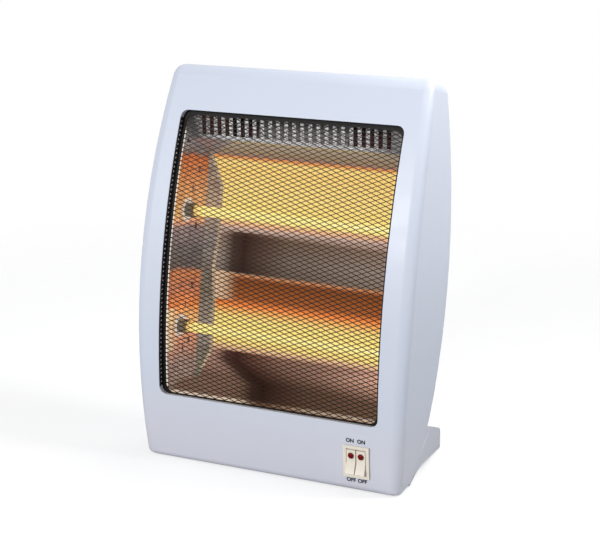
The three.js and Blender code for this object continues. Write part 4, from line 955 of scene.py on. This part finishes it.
def guard_border(points, faces):
    """Adds the flat border round the net, which follows the guard's curve."""
    half = WINDOW_HALF_WIDTH + BORDER_OVERLAP
    low = WINDOW_BOTTOM - BORDER_OVERLAP
    high = WINDOW_TOP + BORDER_OVERLAP
    inner_low = WINDOW_BOTTOM + BORDER_BOTTOM
    inner_high = WINDOW_TOP - BORDER_TOP
    outer = finer(rectangle_outline(half, low, high, BORDER_CORNER))
    narrower = (WINDOW_HALF_WIDTH - BORDER_SIDE) / half
    lower = (inner_high - inner_low) / (high - low)
    inner = [(x * narrower, inner_low + (w - low) * lower) for x, w in outer]
    base = len(points)
    thick = BORDER_THICKNESS / 2
    for outline, side in ((outer, -thick), (outer, thick), (inner, thick), (inner, -thick)):
        points.extend(row_point(x, guard_at(w) + side, w) for x, w in outline)
    ring_faces(faces, 4, len(outer), base)


def flange_bar(points, faces, side, ends, width, thickness):
    """Adds a bar of the side flange; ends holds (w, depth behind the front) twice."""
    x = side * (WINDOW_HALF_WIDTH - FLANGE_GAP)
    start, end = (row_point(x, front_at(w) + depth, w) for w, depth in ends)
    outward = Vector((side, 0, 0))
    across = (end - start).normalized().cross(outward).normalized()
    bar(points, faces, start, end, across, outward, width, thickness)


def side_flange(points, faces, side):
    """Edge of the net folded forward along the window's rim: a strip with one row of holes."""
    low = WINDOW_BOTTOM + WINDOW_CORNER
    high = WINDOW_TOP - WINDOW_CORNER
    rows = round((high - low) / DIAMOND_SHORT)
    step = (high - low) / rows
    for j in range(rows):
        w0 = low + j * step
        w1 = w0 + step
        for start_w, end_w in ((w0, w1), (w1, w0)):
            ends = ((start_w, FLANGE_FRONT), (end_w, FLANGE_STRAND_BACK))
            flange_bar(points, faces, side, ends, FLANGE_STRAND_WIDTH, FLANGE_STRAND_THICKNESS)
    for depth in (FLANGE_FRONT, FLANGE_RAIL_BACK):
        for j in range(rows):
            w0 = low + j * step
            ends = ((w0, depth), (w0 + step, depth))
            flange_bar(points, faces, side, ends, FLANGE_RAIL_WIDTH, FLANGE_RAIL_THICKNESS)


def make_guard():
    points = []
    faces = []
    expanded_net(points, faces)
    guard_border(points, faces)
    side_flange(points, faces, -1)
    side_flange(points, faces, 1)
    mesh = bpy.data.meshes.new("guard_net")
    mesh.from_pydata([tuple(point) for point in points], [], faces)
    mesh.validate()
    guard = make_piece("guard_net", mesh, "guard")
    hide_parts("guard_mesh")


# ------------------------------------------------------------------ switch lettering
def make_word(name, text, x, w, width):
    """Word printed on the front, width mm wide, with its middle at x, w."""
    curve = bpy.data.curves.new(name, "FONT")
    curve.body = text
    curve.size = LETTER_HEIGHT * SIZE_PER_HEIGHT * MM
    curve.align_x = "CENTER"
    curve.align_y = "CENTER"
    curve.extrude = LETTER_RAISE * MM
    curve.offset = LETTER_WEIGHT * MM
    word = bpy.data.objects.new(name, curve)
    bpy.context.scene.collection.objects.link(word)
    bpy.context.view_layer.update()
    word.scale.x = width * MM / word.dimensions.x
    word.location = row_point(x, front_at(w) - LETTER_PROUD, w)
    tilt = math.atan(w / FRONT_RADIUS)
    word.rotation_euler = (math.pi / 2 - LEAN - tilt, 0, 0)
    bpy.context.view_layer.update()
    graph = bpy.context.evaluated_depsgraph_get()
    mesh = bpy.data.meshes.new_from_object(word.evaluated_get(graph))
    mesh.transform(word.matrix_world)
    bpy.data.objects.remove(word)
    make_piece(name, mesh, "ink")


def make_words():
    for side, share in (("left", -0.5), ("right", 0.5)):
        make_word(f"word_on_{side}", "ON", ON_X + share * WORD_SPACING, ON_W, ON_WIDTH)
        make_word(f"word_off_{side}", "OFF", OFF_X + share * WORD_SPACING, OFF_W, OFF_WIDTH)


# ------------------------------------------------------------------ stage, light and camera
def white_background():
    """World that lights at one strength and shows white to camera, mirror and glass."""
    world = bpy.data.worlds.new("studio")
    bpy.context.scene.world = world
    world.use_nodes = True
    tree = world.node_tree
    tree.nodes.clear()
    light = add(tree, "ShaderNodeBackground")
    set_inputs(light, Color=(*WORLD_COLOUR, 1), Strength=WORLD_STRENGTH)
    shown = add(tree, "ShaderNodeBackground")
    set_inputs(shown, Color=(1, 1, 1, 1), Strength=1.0)
    path = add(tree, "ShaderNodeLightPath").outputs
    mirrored = math_node(tree, "MAXIMUM", path["Is Glossy Ray"], path["Is Transmission Ray"])
    seen = math_node(tree, "MAXIMUM", path["Is Camera Ray"], mirrored)
    output = add(tree, "ShaderNodeOutputWorld")
    surface = mix_shader(tree, seen, light.outputs["Background"], shown.outputs["Background"])
    feed(tree, output, Surface=surface)


def mix_shader(tree, factor, first, second):
    node = add(tree, "ShaderNodeMixShader")
    feed(tree, node, Fac=factor)
    tree.links.new(first, node.inputs[1])
    tree.links.new(second, node.inputs[2])
    return node.outputs["Shader"]


def floor_material():
    """Pale floor, lifted to white for the camera and fading out far from the object."""
    material, tree, shader = new_material("pale_floor")
    grain = noise(tree, object_place(tree), 3.0)
    feed(tree, shader, Base_Color=mix_colour(tree, grain, (0.54, 0.54, 0.54), (0.56, 0.56, 0.56)))
    set_inputs(shader, Roughness=0.9, Specular_IOR_Level=0.1)
    shown = add(tree, "ShaderNodeEmission")
    set_inputs(shown, Color=(FLOOR_SHOWN, FLOOR_SHOWN, FLOOR_SHOWN, 1))
    feed(tree, shown, Strength=add(tree, "ShaderNodeLightPath").outputs["Is Camera Ray"])
    both = add(tree, "ShaderNodeAddShader")
    tree.links.new(shader.outputs["BSDF"], both.inputs[0])
    tree.links.new(shown.outputs["Emission"], both.inputs[1])
    distance = add(tree, "ShaderNodeVectorMath", operation="LENGTH")
    feed(tree, distance, Vector=object_place(tree))
    fade = remap(tree, distance.outputs["Value"], *FLOOR_FADE, smooth=True)
    clear = add(tree, "ShaderNodeBsdfTransparent")
    faded = mix_shader(tree, fade, both.outputs["Shader"], clear.outputs["BSDF"])
    feed(tree, tree.nodes["Material Output"], Surface=faded)
    return material


def make_floor():
    mesh = bpy.data.meshes.new("floor")
    signs = ((-1, -1), (1, -1), (1, 1), (-1, 1))
    corners = [(x * FLOOR_REACH, y * FLOOR_REACH, 0) for x, y in signs]
    mesh.from_pydata(corners, [], [(0, 1, 2, 3)])
    floor = bpy.data.objects.new("floor", mesh)
    floor.location.z = -FLOOR_DROP
    mesh.materials.append(floor_material())
    bpy.context.scene.collection.objects.link(floor)


def soft_light(name, place, target, size, power):
    light = bpy.data.lights.new(name, "AREA")
    light.shape = "DISK"
    light.size = size
    light.energy = power
    lamp = bpy.data.objects.new(name, light)
    lamp.location = place
    lamp.rotation_euler = (Vector(target) - Vector(place)).to_track_quat("-Z", "Y").to_euler()
    bpy.context.scene.collection.objects.link(lamp)


def make_camera():
    camera = bpy.data.objects.new("camera", bpy.data.cameras.new("camera"))
    camera.data.lens = CAMERA_LENS
    camera.data.sensor_width = CAMERA_SENSOR
    camera.location = CAMERA_PLACE
    camera.rotation_euler = (CAMERA_TILT, 0, CAMERA_TURN)
    bpy.context.scene.collection.objects.link(camera)
    bpy.context.scene.camera = camera


smooth_casing("casing_front", "front_shell", "shell")
smooth_casing("casing_rear", "rear_shell", "shell")
make_guard()
make_words()
dress_nodes()
white_background()
make_floor()
soft_light("key", (-0.6, -2.4, 1.2), (0, 0, 0.2), 0.7, 40.5)
soft_light("side", (0.56, 0.11, 0.82), (0.13, 0, 0.34), 0.3, 4.0)
soft_light("back", (0.4, 2.0, 1.8), (0, 0, 0.2), 1.6, 14.0)
make_camera()
bpy.context.scene.view_settings.view_transform = "Standard"
